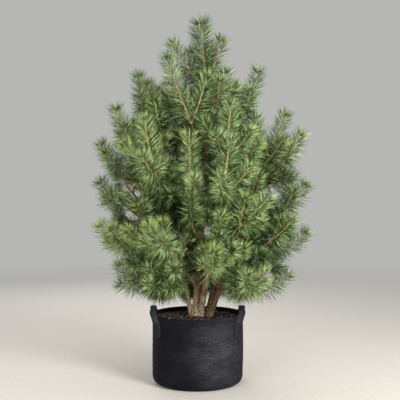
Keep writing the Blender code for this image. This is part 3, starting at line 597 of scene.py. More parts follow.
def plan_plant():
    """All limbs and shoots of the plant by the rule of its solids: stems, the limbs of all other sprays, the
    leads with what carries them, shoots, and the space that they take."""
    stems = {name: grow_stem(BY_NAME[name]) for name in FEET}
    space = Space()
    for limb in stems.values():
        space.add(limb.path, limb.radii, limb.name)
    leads, forks, shoots = [], [], []
    for spray in SPRAYS:
        limb = grow_bough(spray, stems[spray.host], forks) if spray.host else stems[spray.name]
        way = lean_way(spray.bearing + spray.turn, spray.reach, spray.height, spray.lean)
        leads.append((spray.name, limb, way, spray.lead))
    for name, limb, way, length in leads:
        whole = lengths_along(limb.path)[-1]
        lead = grow_shoot(limb.path[-1], way, length, LEAD_RISE, LEAD_STEPS)
        path = np.vstack([limb.path[:-1], lead])
        shoots.append(Shoot(name, path, max(whole - OLD_GROWTH, 0.02), whole))
        space.add(path, SHOOT_CORE, name)
    for order, (name, limb, way, length) in enumerate(leads):
        chance = random.Random(SEED * 1000 + order)
        fork = LEADER_FORK if name == "trunk" else LATERAL_FORK
        for number, path in enumerate(grow_laterals(limb.path[-1], way, length, fork, chance)):
            if number not in LEFT_OUT.get(name, ()) and space.clearance(path[1:], name) >= SHOOT_ROOM:
                shoots.append(Shoot(name, path, LATERAL_BARE, 0.0))
                space.add(path, SHOOT_CORE, name)
    for name, height, *tip, lift in EXTRA_SHOOTS:
        inner = lift is SHADED
        start, way, _ = stems[name].at_height(height)
        straight = unit(np.array(tip) - start)
        first, last = way * EXTRA_OUTWARD + straight, straight + UP * SHOOT_UPTURN
        path = bend(start, first, np.array(tip), last, EXTRA_STEPS)
        shoots.append(Shoot(name, path, SHADED_BARE if inner else LATERAL_BARE, 0.0, inner, lift or 0.0))
        space.add(path, SHOOT_CORE, name)
    return stems, leads, [grown_on(shoot) for shoot in shoots], space


def grown_on(shoot):
    """A shoot carried on a little past its last bunch of needles, so that its bud stands among them."""
    way = unit(shoot.path[-1] - shoot.path[-2])
    return shoot._replace(path=np.vstack([shoot.path, shoot.path[-1] + way * TIP_GROWS_ON]))


def openness(points):
    """How far inside a gap of the crown each point lies to someone in front, and the share of needles that
    stay there: it is carried along the line of sight to the plane of the trunk, and the value falls from 1 in
    the middle of the gap's ellipse to 0 at its edge, which waves in and out."""
    share = EYE[1] / (EYE[1] - points[..., 1])
    across = EYE[0] + (points[..., 0] - EYE[0]) * share
    height = EYE[2] + (points[..., 2] - EYE[2]) * share
    depth, stays = np.zeros(points.shape[:-1]), np.ones(points.shape[:-1])
    for middle_across, middle_height, half_width, half_height, slope, kept, back in OPENINGS:
        cos, sin = math.cos(math.radians(slope)), math.sin(math.radians(slope))
        x, z = across - middle_across, height - middle_height
        along, over = (x * cos - z * sin) / half_width, (x * sin + z * cos) / half_height
        wave = 1 + GAP_WAVE * np.sin(GAP_WAVES * np.arctan2(over, along) + middle_across * 40)
        inside = np.where(points[..., 1] < back, np.clip(1 - np.hypot(along, over) / wave, 0, 1), 0)
        depth = np.maximum(depth, inside)
        stays = np.minimum(stays, np.maximum(kept, 1 - inside * GAP_EDGE))
    return depth, stays


def finer_twigs(leads, space):
    """Side twigs in whorls down the older growth of every limb. Of a few turns round the limb, each takes the
    one that leaves it the most room, and is left out where there is none."""
    twigs = []
    for order, (name, limb, _, _) in enumerate(leads):
        chance = random.Random(SEED * 3000 + order)
        is_stem = limb.name in FEET
        distance = lengths_along(limb.path)[-1] - OLD_GROWTH
        while distance > (STEM_BARE if is_stem else LIMB_BARE):
            start = point_along(limb.path, distance)
            if is_stem and start[2] < STEM_BARE_BELOW:
                break
            way = unit(point_along(limb.path, distance + 0.02) - start)
            for _ in range(TWIG_WHORL):
                best_room, best_path = TWIG_ROOM, None
                for _ in range(TWIG_TRIES):
                    out = side_way(way, chance.uniform(0, 360), TWIG_FORK + chance.uniform(*TWIG_FORK_VARIES))
                    path = grow_shoot(start, out, chance.uniform(*TWIG_LENGTH), SIDE_RISE, SIDE_STEPS)
                    is_open = (openness(path)[0] > TWIGS_KEEP_OUT).any()
                    if path[:, 2].min() < TWIG_FLOOR or not is_inside(path) or is_open:
                        continue
                    room = space.clearance(path[2:])
                    if room > best_room:
                        best_room, best_path = room, path
                if best_path is not None:
                    twigs.append(Shoot(name, best_path, TWIG_BARE, 0.0, True))
                    space.add(best_path, SHOOT_CORE * TWIG_CORE, name)
            distance -= OLD_GROWTH * chance.uniform(*TWIG_SPACING)
    return twigs


# Bark


def cell_plates(u, v, columns, seed):
    """A pattern of plates. Each unit square holds one point at a random place. The first value is how much
    nearer the nearest point is than the second, 0 on the line between two plates, and the second value is the
    nearest point's own number from 0 to 1. u meets itself after the given count of squares."""
    chance = np.random.default_rng(seed)
    rows = int(v.max()) + 3
    spots = chance.uniform(0.1, 0.9, (columns, rows, 2))
    marks = chance.uniform(0, 1, (columns, rows))
    column, row = np.floor(u).astype(int), np.floor(v).astype(int)
    gaps, found = [], []
    for beside in (-1, 0, 1):
        for above in (-1, 0, 1):
            i, j = (column + beside) % columns, np.clip(row + above, 0, rows - 1)
            gaps.append(np.hypot(column + beside + spots[i, j, 0] - u, row + above + spots[i, j, 1] - v))
            found.append(marks[i, j])
    gaps, found = np.stack(gaps), np.stack(found)
    order = np.argsort(gaps, axis=0)
    first, second = (np.take_along_axis(gaps, order[k:k + 1], 0)[0] for k in (0, 1))
    return second - first, np.take_along_axis(found, order[:1], 0)[0]


def bark_tube(heap, limb, sides, spacing, seed, sink=0.0):
    """A limb with bark: radius + plates that stand proud between cracks, less so where the limb is young. One
    that is sunk in the soil has lobes at the foot that die away as the flare does, and any other a collar."""
    path = limb.path
    if sink:
        path = np.vstack([path[0] - unit(path[1] - path[0]) * sink, path])
    gone = lengths_along(path)
    radii = np.interp(gone, gone[-len(limb.radii):], limb.radii)
    share = np.linspace(0, 1, int(gone[-1] / spacing) + 2)
    wanted = gone[-1] * (RINGS_EVEN * share + RINGS_DENSE * share**2)
    radius = np.interp(wanted, gone, radii)[:, None]
    if not sink:
        radius = radius * (1 + FORK_COLLAR * np.exp(-wanted / FORK_COLLAR_REACH))[:, None]
    angle = turns(sides)[None]
    age = smooth_step((radius - OLD_BARK_FROM) / OLD_BARK_OVER)
    columns = max(5, round(2 * math.pi * float(radius[len(radius) // 4, 0]) / PLATE_WIDTH))
    u = np.broadcast_to(angle / (2 * math.pi) * columns, (len(wanted), sides))
    v = np.broadcast_to(wanted[:, None] / PLATE_LENGTH + PLATES_WANDER * np.sin(angle * 3 + seed), u.shape)
    crack, mark = cell_plates(u, v, columns, seed)
    plate = smooth_step(crack / CRACK_WIDTH)
    relief = PLATE_PROUD * plate + PLATE_VARIES * plate * mark - CRACK_DEPTH
    relief = relief * (YOUNG_RELIEF + (1 - YOUNG_RELIEF) * age)
    if sink:
        flare = np.exp(-np.maximum(wanted - sink, 0) / (FLARE_HEIGHT * 1.3))[:, None]
        relief = relief + radius * FOOT_LOBES * flare * np.cos(angle * 4 + seed * 1.7)
    grid = round_tube(smooth_points(path, wanted), radius + relief, sides)
    closed_grid(heap, grid, crack=plate, mark=mark, age=age)


def shoot_axis(heap, shoot):
    """The thin woody axis of a shoot, thicker the longer it is: radius falls evenly to its tip, with a slight
    collar where it leaves."""
    total = lengths_along(shoot.path)[-1]
    size = total - shoot.new_from
    thick = min(AXIS_LEAST + AXIS_GAIN * size, AXIS_MOST)
    wanted = np.linspace(shoot.new_from, total, max(4, int(size / AXIS_RING)) + 1)
    share = ((wanted - shoot.new_from) / size)[:, None]
    collar = 1 + AXIS_COLLAR * np.exp(-(wanted - shoot.new_from) / AXIS_COLLAR_REACH)
    radius = thick * (1 - AXIS_TAPER * share) * collar[:, None]
    closed_grid(heap, round_tube(smooth_points(shoot.path, wanted), radius, AXIS_SIDES), young=share)


def buds(heap, shoots):
    """A cluster of buds at each tip: an ovoid of a few rings, its radius that of a sine between its ends, and
    three smaller ones that lean out round it."""
    rise = np.linspace(0, 1, BUD_RINGS)
    swell = np.sin(math.pi * (0.12 + 0.88 * rise) ** 0.8)
    for order, shoot in enumerate(shoots):
        way, right, over = (w[-1] for w in frames_along(shoot.path))
        tip = shoot.path[-1]
        for k in range(SIDE_BUDS + 1):
            turn = k * SIDE_BUD_TURN + order
            out = right * math.cos(turn) + over * math.sin(turn)
            axis = unit(way + out * (SIDE_BUD_LEAN if k else 0.0))
            long, wide = SIDE_BUD if k else BUD
            across = unit(np.cross(axis, over + right * 0.3))
            ring = around(across, np.cross(axis, across), turns(BUD_SIDES))
            base = tip + out * (BUD_SEAT if k else 0.0) - axis * BUD_SINK
            grid = base + axis * (rise * long)[:, None, None] + ring * (swell * wide)[:, None, None]
            closed_grid(heap, grid)


# Needles


def tone_of(shoot, climb, old, chance):
    """The tone number of each needle. A shoot has its own level, which is higher towards its tip and lower
    where the growth is old, lower as painted shade inside the crown and high in it, and moved by the lifts of
    its spray and its own, which are painted light and shade; its needles lie to both sides of that. The tips
    of a fresh spray are yellower, the more so further up the shoot."""
    mass, top = BY_NAME[shoot.mass], shoot.path[-1][2]
    level = TONE_LEVEL + chance.normal(0, SHOOTS_VARY) + TIP_LIFT * climb - OLD_DROP * old
    # Painted shade inside the crown, painted light and shade by lift, and painted shade high in the crown
    if shoot.inner:
        level = level - INNER_PAINTED_SHADE
    level = level + mass.lift + shoot.lift
    for drop, low, over in HIGH_PAINTED_SHADE:
        level = level - drop * smooth_step((top - low) / over)
    tone = np.rint(np.clip(level + chance.normal(0, NEEDLES_VARY, len(climb)), 0, 4)).astype(int)
    ripe = FRESH_CHANCE if mass.fresh or shoot.lift > 0 else RIPE_CHANCE
    if chance.random() < ripe and not shoot.inner and shoot.mass != "trunk":
        yellow = (chance.random(len(climb)) < YELLOW_AT_FOOT + YELLOW_GAIN * climb) & (tone > 1) & ~old
        tone = np.where(yellow, np.where(chance.random(len(climb)) < TIP_SHARE, 6, 5), tone)
    return tone


def grow_needles(shoot, seed):
    """Pairs of needles on a spiral, as roots, middles, tips, ways across and tones. Pair i is turned by i
    golden angles and leaves the axis by a spread that narrows towards the tip. A needle first stands wider
    than that, and then sweeps forward."""
    chance = np.random.default_rng(seed)
    total = lengths_along(shoot.path)[-1]
    old_length = max(shoot.new_from - shoot.bare, 0.0)
    old_count = int(old_length * PAIRS_A_METRE * OLD_PAIRS_SHARE)
    new_start = max(shoot.bare, shoot.new_from)
    new_count = int((total - new_start) * PAIRS_A_METRE)
    is_leader = shoot.mass == "trunk" and old_length > 0
    narrows, tightest, size = NARROWS, TUFT_TIGHTEST, 1.0
    if is_leader:
        new_count = int(new_count * LEADER_FULLNESS)
        narrows, tightest, size = LEADER_NARROWS, LEADER_TUFT_TIGHTEST, LEADER_NEEDLES
    stations = np.concatenate([
        shoot.bare + old_length * (np.arange(old_count) + 0.5) / max(old_count, 1),
        new_start + (total - new_start) * (np.arange(new_count) + 0.5) / new_count,
        np.full(TUFT_PAIRS, total),
    ])
    count = len(stations)
    old = np.arange(count) < old_count
    tuft = np.arange(count) >= old_count + new_count
    stations = np.clip(stations + chance.normal(0, STATIONS_VARY, count), 0, total)
    climb = np.clip((stations - new_start) / (total - new_start), 0, 1)
    centres = smooth_points(shoot.path, stations)
    even = np.linspace(0, total, FRAME_STEPS)
    ways, rights, overs = (
        np.column_stack([np.interp(stations, even, part[:, k]) for k in range(3)])
        for part in frames_along(smooth_points(shoot.path, even))
    )
    spread = np.where(old, OLD_SPREAD, NEW_SPREAD - narrows * climb**0.7)
    spread = np.radians(spread + chance.normal(0, SPREAD_VARIES, count))
    sag = np.where(old, OLD_SAG, NEW_SAG * (1 - climb) ** 1.5) + chance.uniform(*SAG_VARIES, count)
    spread = np.where(tuft, np.radians(chance.uniform(tightest, TUFT_WIDEST, count)), spread)
    turn = np.arange(count) * GOLDEN_ANGLE + chance.normal(0, TURNS_VARY, count)
    length = NEEDLE_LENGTH * np.where(old, OLD_SIZE, 1 - TIP_SHORTER * climb)
    length = length * chance.uniform(*NEEDLE_LENGTHS, count)
    length = np.where(tuft, length * (0.70 + 0.24 * spread), length) * size
    halves = []
    for sign in (-1, 1):
        angle = turn + sign * chance.uniform(*PAIR_TURNS, count)
        out = rights * np.cos(angle)[:, None] + overs * np.sin(angle)[:, None]
        lean = spread + sign * chance.uniform(-LEANS_VARY, LEANS_VARY, count)
        aim, wide = (
            ways * np.cos(part)[:, None] + out * np.sin(part)[:, None] for part in (lean, lean + BOWED_BY)
        )
        aim = unit(aim + UP * (0.08 - sag)[:, None])
        wide = unit(wide + UP * (0.06 - 0.3 * sag)[:, None])
        root = centres + out * NEEDLE_SEAT
        middle, tip = root + wide * (length * BOWED_AT)[:, None], root + aim * length[:, None]
        halves.append((root, middle, tip, np.cross(aim, out), tone_of(shoot, climb, old, chance)))
    return halves


def needle_mesh(heap, root, middle, tip, side):
    """Slender closed needles of six faces: from a point at the root to three corners round the middle, and
    on to a point at the tip."""
    way = unit(tip - root)
    side = unit(side - way * (side * way).sum(1)[:, None] + 1e-9)
    third = np.cross(way, side)
    half = NEEDLE_WIDTH / 2
    corners = [middle + side * half, middle - side * half * 0.5 + third * half * 0.75,
               middle - side * half * 0.5 - third * half * 0.75]
    faces = np.array([[0, 2, 1], [0, 3, 2], [0, 1, 3], [4, 1, 2], [4, 2, 3], [4, 3, 1]])
    heap.add(np.stack([root, *corners, tip], 1), (np.arange(len(root)) * 5)[:, None, None] + faces[None])


# Grow bag, handles and potting mix


def bag_swell(bearing, height):
    """How far the bag's wall stands out: seeded waves of a few turns round it, which die away at the foot and
    the rim, and shallow level creases that fade in and out."""
    chance = np.random.default_rng(SEED)
    swell = np.zeros(np.broadcast(bearing, height).shape)
    angle = np.radians(bearing)
    for _ in range(BAG_WAVES):
        count = chance.integers(1, 9)
        rise = chance.uniform(-22, 22)
        swell += np.sin(count * angle + rise * height + chance.uniform(0, 7)) / (1 + count * 0.35)
    body = np.sin(math.pi * np.clip(height / BAG_HEIGHT, 0, 1)) ** 0.8
    fade = np.sin(3 * angle + 31 * height + 0.6) * np.sin(2 * angle - 17 * height + 2.0)
    creases = np.sin(height * 2 * math.pi / CREASE_PITCH + 1.5 * np.sin(2 * angle + 1)) * np.clip(fade, 0, 1)
    return body * (WAVE_DEPTH * swell + CREASE_DEPTH * creases + SLACK)


def arc_profile(foot, wall, low, high, steps):
    """A quarter of an ellipse from the flat foot up into the wall, as radii and heights."""
    angle = np.linspace(0, math.pi / 2, steps)
    return foot + (wall - foot) * np.sin(angle), high - (high - low) * np.cos(angle)


def build_bag(felt, thread):
    """The bag turned round Z from its profile: flat foot, round corner, wall, hem, rim and inner wall. Each
    radius is moved by the swell of the wall, and drawn in along the upright seam. Stitches run round the
    hem."""
    inner = BAG_RADIUS - BAG_WALL
    hem_foot = BAG_HEIGHT - HEM_DEPTH
    rise = np.linspace(BAG_CORNER_HEIGHT, hem_foot - 0.003, 90)[1:]
    rim = np.linspace(0, math.pi, 9)
    inner_corner = arc_profile(BAG_FOOT_RADIUS - BAG_WALL, inner, BAG_WALL, BAG_CORNER_HEIGHT, 6)
    parts = [
        (np.linspace(0.012, BAG_FOOT_RADIUS, 14)[:-1], np.zeros(13)),
        arc_profile(BAG_FOOT_RADIUS, BAG_RADIUS, 0.0, BAG_CORNER_HEIGHT, 16),
        (np.full(len(rise), BAG_RADIUS), rise),
        (BAG_RADIUS + np.array([-0.0010, -0.0012, 0.4 * HEM_PROUD, HEM_PROUD]),
         hem_foot + np.array([-0.0012, 0.0, 0.0008, 0.0022])),
        (np.full(6, BAG_RADIUS + HEM_PROUD), np.linspace(hem_foot + 0.004, BAG_HEIGHT - 0.003, 6)),
        ((BAG_RADIUS + HEM_PROUD + inner) / 2 + (BAG_WALL + HEM_PROUD) / 2 * np.cos(rim),
         BAG_HEIGHT - 0.0028 + 0.0028 * np.sin(rim)),
        (np.full(12, inner), np.linspace(BAG_HEIGHT - 0.008, BAG_CORNER_HEIGHT + 0.01, 12)),
        tuple(part[::-1] for part in inner_corner),
        (np.array([0.10, 0.012]), np.full(2, BAG_WALL)),
    ]
    radius, height = (np.concatenate(part)[:, None] for part in zip(*parts))
    by_seam = SEAM_BEARING + np.linspace(-1.6, 1.6, 15)
    even = SEAM_BEARING + np.linspace(2.4, 357.6, BAG_COLUMNS)
    bearing = np.concatenate([by_seam, even])[None]
    away = np.radians(bearing - SEAM_BEARING) * BAG_RADIUS
    away = np.minimum(abs(away), abs(away - 2 * math.pi * BAG_RADIUS))
    seam = np.exp(-(away / SEAM_WIDTH) ** 2) * (radius > inner + 0.001) * (height > 0.004)
    turned = radius + bag_swell(bearing, height) * smooth_step((radius - 0.10) / 0.08) - SEAM_DEPTH * seam
    grid = toward(np.broadcast_to(bearing, turned.shape)) * turned[..., None]
    grid[..., 2] = np.broadcast_to(height, turned.shape)
    bag, stitches = Heap(), Heap()
    closed_grid(bag, grid)
    make_piece("bag_felt", bag, felt, ["grow_bag"])
    line = hem_foot + HEM_STITCH_RISE
    count = int(2 * math.pi * BAG_RADIUS / STITCH_PITCH)
    middle = np.arange(count) * 360 / count
    half = np.degrees(STITCH_PITCH * 0.33 / BAG_RADIUS)
    out = BAG_RADIUS + HEM_PROUD + bag_swell(middle, line)
    ends = [toward(middle + sign * half) * out[:, None] + UP * line for sign in (-1, 1)]
    stitch_row(stitches, *ends, toward(middle))
    make_piece("hem_stitches", stitches, thread, ["grow_bag"])


def stitch_row(heap, starts, ends, normals):
    """Stitches: each a thread of a few sides that rises from its start, lies along the cloth and dips in at
    its end, closed to a point at both."""
    sides = THREAD_SIDES
    share = np.array([0.0, 0.16, 0.5, 0.84, 1.0])
    thick = np.array([0.15, 1.0, 1.15, 1.0, 0.15]) * THREAD_RADIUS
    lift = np.array([-0.0004, 0.0001, 0.0003, 0.0001, -0.0004])
    across = np.cross(unit(ends - starts), normals)
    centre = (
        starts[:, None] + (ends - starts)[:, None] * share[None, :, None]
        + normals[:, None] * lift[None, :, None]
    )
    grid = centre[:, :, None] + around(across, normals, turns(sides))[:, None] * thick[None, :, None, None]
    size = len(share) * sides
    offset = (np.arange(len(starts)) * size)[:, None, None]
    fans = []
    for base, order in ((0, -1), (size - sides, 1)):
        ring = base + np.arange(sides)[::order]
        fans += [[ring[0], ring[k], ring[k + 1]] for k in range(1, sides - 1)]
    heap.add(grid, offset + np.array(fans)[None], offset + wrapped_faces(len(share), sides)[None])


def strap_stations():
    """Stations of a handle round its own middle: bearing from it, height, distance out, and share of twist.
    The band turns from flat on the wall to square across it, and keeps its inner edge off the wall."""
    turn = np.linspace(0, math.pi, STRAP_STEPS + 1)
    from_end = np.degrees(np.minimum(turn, math.pi - turn))
    side = np.sign(np.cos(turn)) * abs(np.cos(turn)) ** STRAP_SQUARENESS
    lift = np.maximum(np.sin(turn), 0) ** STRAP_SQUARENESS
    twist = smooth_step(from_end / STRAP_TWISTED_BY)
    across = np.radians(90 - STRAP_FOOT_BEARING) * twist
    out = BAG_RADIUS + HEM_PROUD + np.cos(across) * STRAP_THICKNESS / 2 + np.sin(across) * STRAP_WIDTH / 2
    span = STRAP_OVER_RIM_TO - STRAP_OVER_RIM_FROM
    out += (STRAP_TOP_REACH - out) * smooth_step((from_end - STRAP_OVER_RIM_FROM) / span)
    height = STRAP_LEAVES_WALL + (STRAP_TOP - STRAP_LEAVES_WALL) * lift
    foot = np.linspace(STRAP_LOW_END, STRAP_LEAVES_WALL, STRAP_FOOT_STEPS)[:-1]
    foot_out = np.linspace(BAG_RADIUS + STRAP_THICKNESS / 2, out[0], STRAP_FOOT_STEPS)[:-1]
    ends, none = np.full(len(foot), STRAP_FOOT_BEARING), np.zeros(len(foot))
    return (
        np.concatenate([-ends, -STRAP_FOOT_BEARING * side, ends]),
        np.concatenate([foot, height, foot[::-1]]),
        np.concatenate([foot_out, out, foot_out[::-1]]),
        np.concatenate([none, twist, none]),
    )


def build_handle(name, middle, webbing, thread):
    """A webbing loop: a flat band with rounded edges carried along the handle's path and rolled in a little
    as it leaves the wall, its ends sewn upright on the wall and its arch turned flat side up."""
    bearing, height, out, twist = strap_stations()
    on_wall = 1 - 0.5 * smooth_step((height - 0.30) / 0.04)
    out = out + bag_swell(middle + bearing, height) * on_wall
    outward = toward(middle + bearing)
    path = outward * out[:, None] + UP * height[:, None]
    way = unit(np.gradient(path, axis=0))
    round_wall = np.cross(UP, outward) * np.where(bearing < 0, 1, -1)[:, None]
    wide = round_wall * (1 - twist)[:, None] + toward(float(middle)) * twist[:, None]
    wide = unit(wide - way * (wide * way).sum(1)[:, None])
    thick = np.cross(way, wide)
    angle = turns(STRAP_SIDES)
    reach = np.sign(np.cos(angle)) * abs(np.cos(angle)) ** 0.32
    depth = np.sign(np.sin(angle)) * abs(np.sin(angle)) ** 0.45
    roll = STRAP_ROLL * smooth_step((height - STRAP_LEAVES_WALL) / 0.03)
    inward = np.sign((thick * (np.array([0, 0, 0.2]) - path)).sum(1)) * roll
    across = reach * STRAP_WIDTH / 2
    raised = (depth * STRAP_THICKNESS / 2)[None] + inward[:, None] * reach[None] ** 2
    grid = path[:, None] + wide[:, None] * across[None, :, None] + thick[:, None] * raised[..., None]
    # Painted highlight: the inner half of the band is lighter where it rises off the wall
    worn = smooth_step((PAINTED_LIGHT_HALF_HEIGHT - abs(height - PAINTED_LIGHT_MIDDLE)) / 0.012)
    worn = worn[:, None] * smooth_step((0.005 - across) / 0.006)
    band, sewn = Heap(), Heap()
    closed_grid(band, grid, along=lengths_along(path)[:, None], across=across[None], worn=worn)
    make_piece(name + "_webbing", band, webbing, [name])
    for side in (-STRAP_FOOT_BEARING, STRAP_FOOT_BEARING):
        sew_box(sewn, middle + side)
    make_piece(name + "_stitches", sewn, thread, [name])


def sew_box(heap, bearing):
    """A sewn box with a cross in it, on the strap's foot."""
    half_wide, low, high = STRAP_WIDTH * 0.36, STRAP_LOW_END + 0.004, STRAP_LOW_END + 0.026
    box = [(-half_wide, low), (half_wide, low), (half_wide, high), (-half_wide, high)]
    starts, ends = [], []
    for a, b in (*zip(box, box[1:] + box[:1]), (box[0], box[2]), (box[1], box[3])):
        a, b = np.array(a), np.array(b)
        count = max(int(np.linalg.norm(b - a) / BOX_STITCH_PITCH), 1)
        share = (np.arange(count)[:, None] + np.array([[0.14, 0.86]])) / count
        starts.append(a + (b - a) * share[:, :1])
        ends.append(a + (b - a) * share[:, 1:])
    placed = []
    for part in (np.concatenate(starts), np.concatenate(ends)):
        out = BAG_RADIUS + STRAP_THICKNESS + bag_swell(bearing, part[:, 1])
        outward = toward(np.full(len(part), bearing))
        placed.append(outward * out[:, None] + np.cross(UP, toward(bearing)) * part[:, :1] + UP * part[:, 1:])
    stitch_row(heap, *placed, outward)


def soil_height(x, y):
    """Height of the mix: level near the stems, lower towards the wall, with crumbs as a sum of waves."""
    reach = np.hypot(x, y)
    drop = SOIL_EDGE_DROP * smooth_step((reach - SOIL_PLATEAU) / (BAG_RADIUS - SOIL_PLATEAU))
    chance = np.random.default_rng(SEED + 1)
    crumbs = np.zeros_like(x)
    for scale in CRUMB_SCALES:
        for _ in range(4):
            way = chance.uniform(0, 2 * math.pi)
            crumbs += np.sin(scale * (x * math.cos(way) + y * math.sin(way)) + chance.uniform(0, 7)) / scale
    return SOIL_TOP - drop + crumbs * CRUMB_RELIEF + MOUND_HEIGHT * np.exp(-(reach / MOUND_REACH) ** 2)


def build_soil(mix, chips, stems):
    """The mix as a turned body whose top is crumbly, and loose bits on it: boxes with moved corners."""
    outer = BAG_RADIUS - BAG_WALL + 0.0008
    angle = turns(SOIL_COLUMNS)[None]
    foot_radius, foot_height = arc_profile(BAG_FOOT_RADIUS - BAG_WALL, outer, BAG_WALL, BAG_CORNER_HEIGHT, 5)
    side_height = np.linspace(BAG_CORNER_HEIGHT, SOIL_TOP - 0.012, 6)[1:]
    radius = np.concatenate([foot_radius, np.full(5, outer), np.linspace(outer, 0.003, 74)])[:, None]
    swell = bag_swell(np.degrees(angle) + 90, np.full((1, 1), SOIL_TOP)) * smooth_step((radius - 0.16) / 0.04)
    x, y = (radius + swell) * np.cos(angle), (radius + swell) * np.sin(angle)
    below = np.concatenate([foot_height, side_height])[:, None]
    z = np.concatenate([np.broadcast_to(below, (len(below), SOIL_COLUMNS)), soil_height(x, y)[len(below):]])
    heap = Heap()
    closed_grid(heap, np.stack([x, y, z], -1))
    make_piece("mix_crumbs", heap, mix, ["potting_mix"])
    chance = np.random.default_rng(SEED + 2)
    reach = (outer - 0.004) * np.sqrt(chance.uniform(0, 1, CHIPS))
    way = chance.uniform(0, 2 * math.pi, CHIPS)
    x, y = reach * np.cos(way), reach * np.sin(way)
    free = np.ones(CHIPS, bool)
    for limb in stems.values():
        free &= np.hypot(x - limb.path[0, 0], y - limb.path[0, 1]) > limb.radii[0] + 0.002
    x, y = x[free], y[free]
    kinds = chance.choice(len(chips), len(x), p=CHIP_SHARES)
    cube = np.array([[i, j, k] for i in (-1, 1) for j in (-1, 1) for k in (-1, 1)], float)
    sides = np.array([[0, 1, 3, 2], [4, 6, 7, 5], [0, 4, 5, 1], [2, 3, 7, 6], [0, 2, 6, 4], [1, 5, 7, 3]])
    for kind, (label, finish) in enumerate(chips):
        held = kinds == kind
        count = int(held.sum())
        long = chance.uniform(*CHIP_LENGTHS, count) * (GRIT_SIZE if label == "grit" else 1.0)
        wide, thick = (long * chance.uniform(*shares, count) for shares in ((0.35, 0.8), (0.2, 0.5)))
        size = np.stack([long, wide, thick], -1)
        corners = cube[None] * size[:, None] * chance.uniform(0.6, 1.25, (count, 8, 3))
        turn = chance.uniform(0, 2 * math.pi, count)
        tilt = chance.normal(0, 0.35, (count, 2))
        a = unit(np.stack([np.cos(turn), np.sin(turn), tilt[:, 0]], -1))
        b = np.stack([-np.sin(turn), np.cos(turn), tilt[:, 1]], -1)
        b = unit(b - a * (b * a).sum(1)[:, None])
        places = np.einsum("nkj,njc->nkc", corners, np.stack([a, b, np.cross(a, b)], 1))
        height = soil_height(x[held], y[held]) + thick * 0.4
        places += np.stack([x[held], y[held], height], -1)[:, None]
        heap = Heap()
        heap.add(places, (), (np.arange(count) * 8)[:, None, None] + sides[None])
        make_piece("mix_" + label, heap, finish, ["potting_mix"], smooth=False)


# Finishes. Colours are screen colours of 0 to 255


def linear(colour):
    """A screen colour as the shader's own linear colour, opaque."""
    screen = np.array(colour) / 255
    return (*np.where(screen > 0.04045, ((screen + 0.055) / 1.055) ** 2.4, screen / 12.92).tolist(), 1.0)


class Finish:
    """A material in the making: its nodes, and its one shader."""

    def __init__(self, name, colour, roughness, specular=0.5, **shader):
        self.material = bpy.data.materials.new(name)
        self.material.use_nodes = True
        self.material.diffuse_color = linear(colour)
        self.nodes, self.links = self.material.node_tree.nodes, self.material.node_tree.links
        self.shader = self.nodes["Principled BSDF"]
        self.set(self.shader, {"Base Color": linear(colour), "Roughness": roughness,
                               "Specular IOR Level": specular, **shader})
        self.place = self.nodes.new("ShaderNodeTexCoord").outputs["Object"]

    def set(self, node, inputs):
        for name, value in inputs.items():
            if isinstance(value, bpy.types.NodeSocket):
                self.links.new(value, node.inputs[name])
            else:
                node.inputs[name].default_value = value

    def add(self, kind, inputs, **settings):
        node = self.nodes.new("ShaderNode" + kind)
        for name, value in settings.items():
            setattr(node, name, value)
        self.set(node, inputs)
        return node

    def attribute(self, name):
        return self.add("Attribute", {}, attribute_name=name).outputs["Fac"]

    def noise(self, scale, detail=3.0, roughness=0.55, stretch=None):
        """Noise at the place on the piece, each axis scaled where it is stretched."""
        place = self.place
        if stretch:
            place = self.add("Mapping", {"Vector": place, "Scale": stretch}).outputs["Vector"]
        wanted = {"Vector": place, "Scale": scale, "Detail": detail, "Roughness": roughness}
        return self.add("TexNoise", wanted).outputs["Fac"]

    def ramp(self, value, *stops):
        """Colours laid out along a value, as pairs of place and colour."""
        node = self.add("ValToRGB", {"Fac": value})
        elements = node.color_ramp.elements
        while len(elements) < len(stops):
            elements.new(0.5)
        for element, (place, colour) in zip(elements, stops):
            element.position, element.color = place, linear(colour)
        return node.outputs["Color"]

    def range(self, value, low, high, to_low=0.0, to_high=1.0):
        wanted = {"Value": value, "From Min": low, "From Max": high, "To Min": to_low, "To Max": to_high}
        return self.add("MapRange", wanted).outputs["Result"]

    def mix(self, share, first, second, kind="MIX"):
        first, second = (linear(part) if isinstance(part, tuple) else part for part in (first, second))
        inputs = {0: share, 6: first, 7: second}
        return self.add("Mix", inputs, data_type="RGBA", blend_type=kind).outputs[2]

    def maths(self, kind, first, second):
        return self.add("Math", {0: first, 1: second}, operation=kind).outputs[0]

    def colour(self, socket):
        self.links.new(socket, self.shader.inputs["Base Color"])

    def roughness(self, value, low, high, to_low, to_high):
        self.links.new(self.range(value, low, high, to_low, to_high), self.shader.inputs["Roughness"])

    def bump(self, height, distance, strength):
        """Relief in the shading, on top of any there is already."""
        wanted = {"Height": height, "Distance": distance, "Strength": strength}
        if self.shader.inputs["Normal"].is_linked:
            wanted["Normal"] = self.shader.inputs["Normal"].links[0].from_socket
        self.links.new(self.add("Bump", wanted).outputs["Normal"], self.shader.inputs["Normal"])


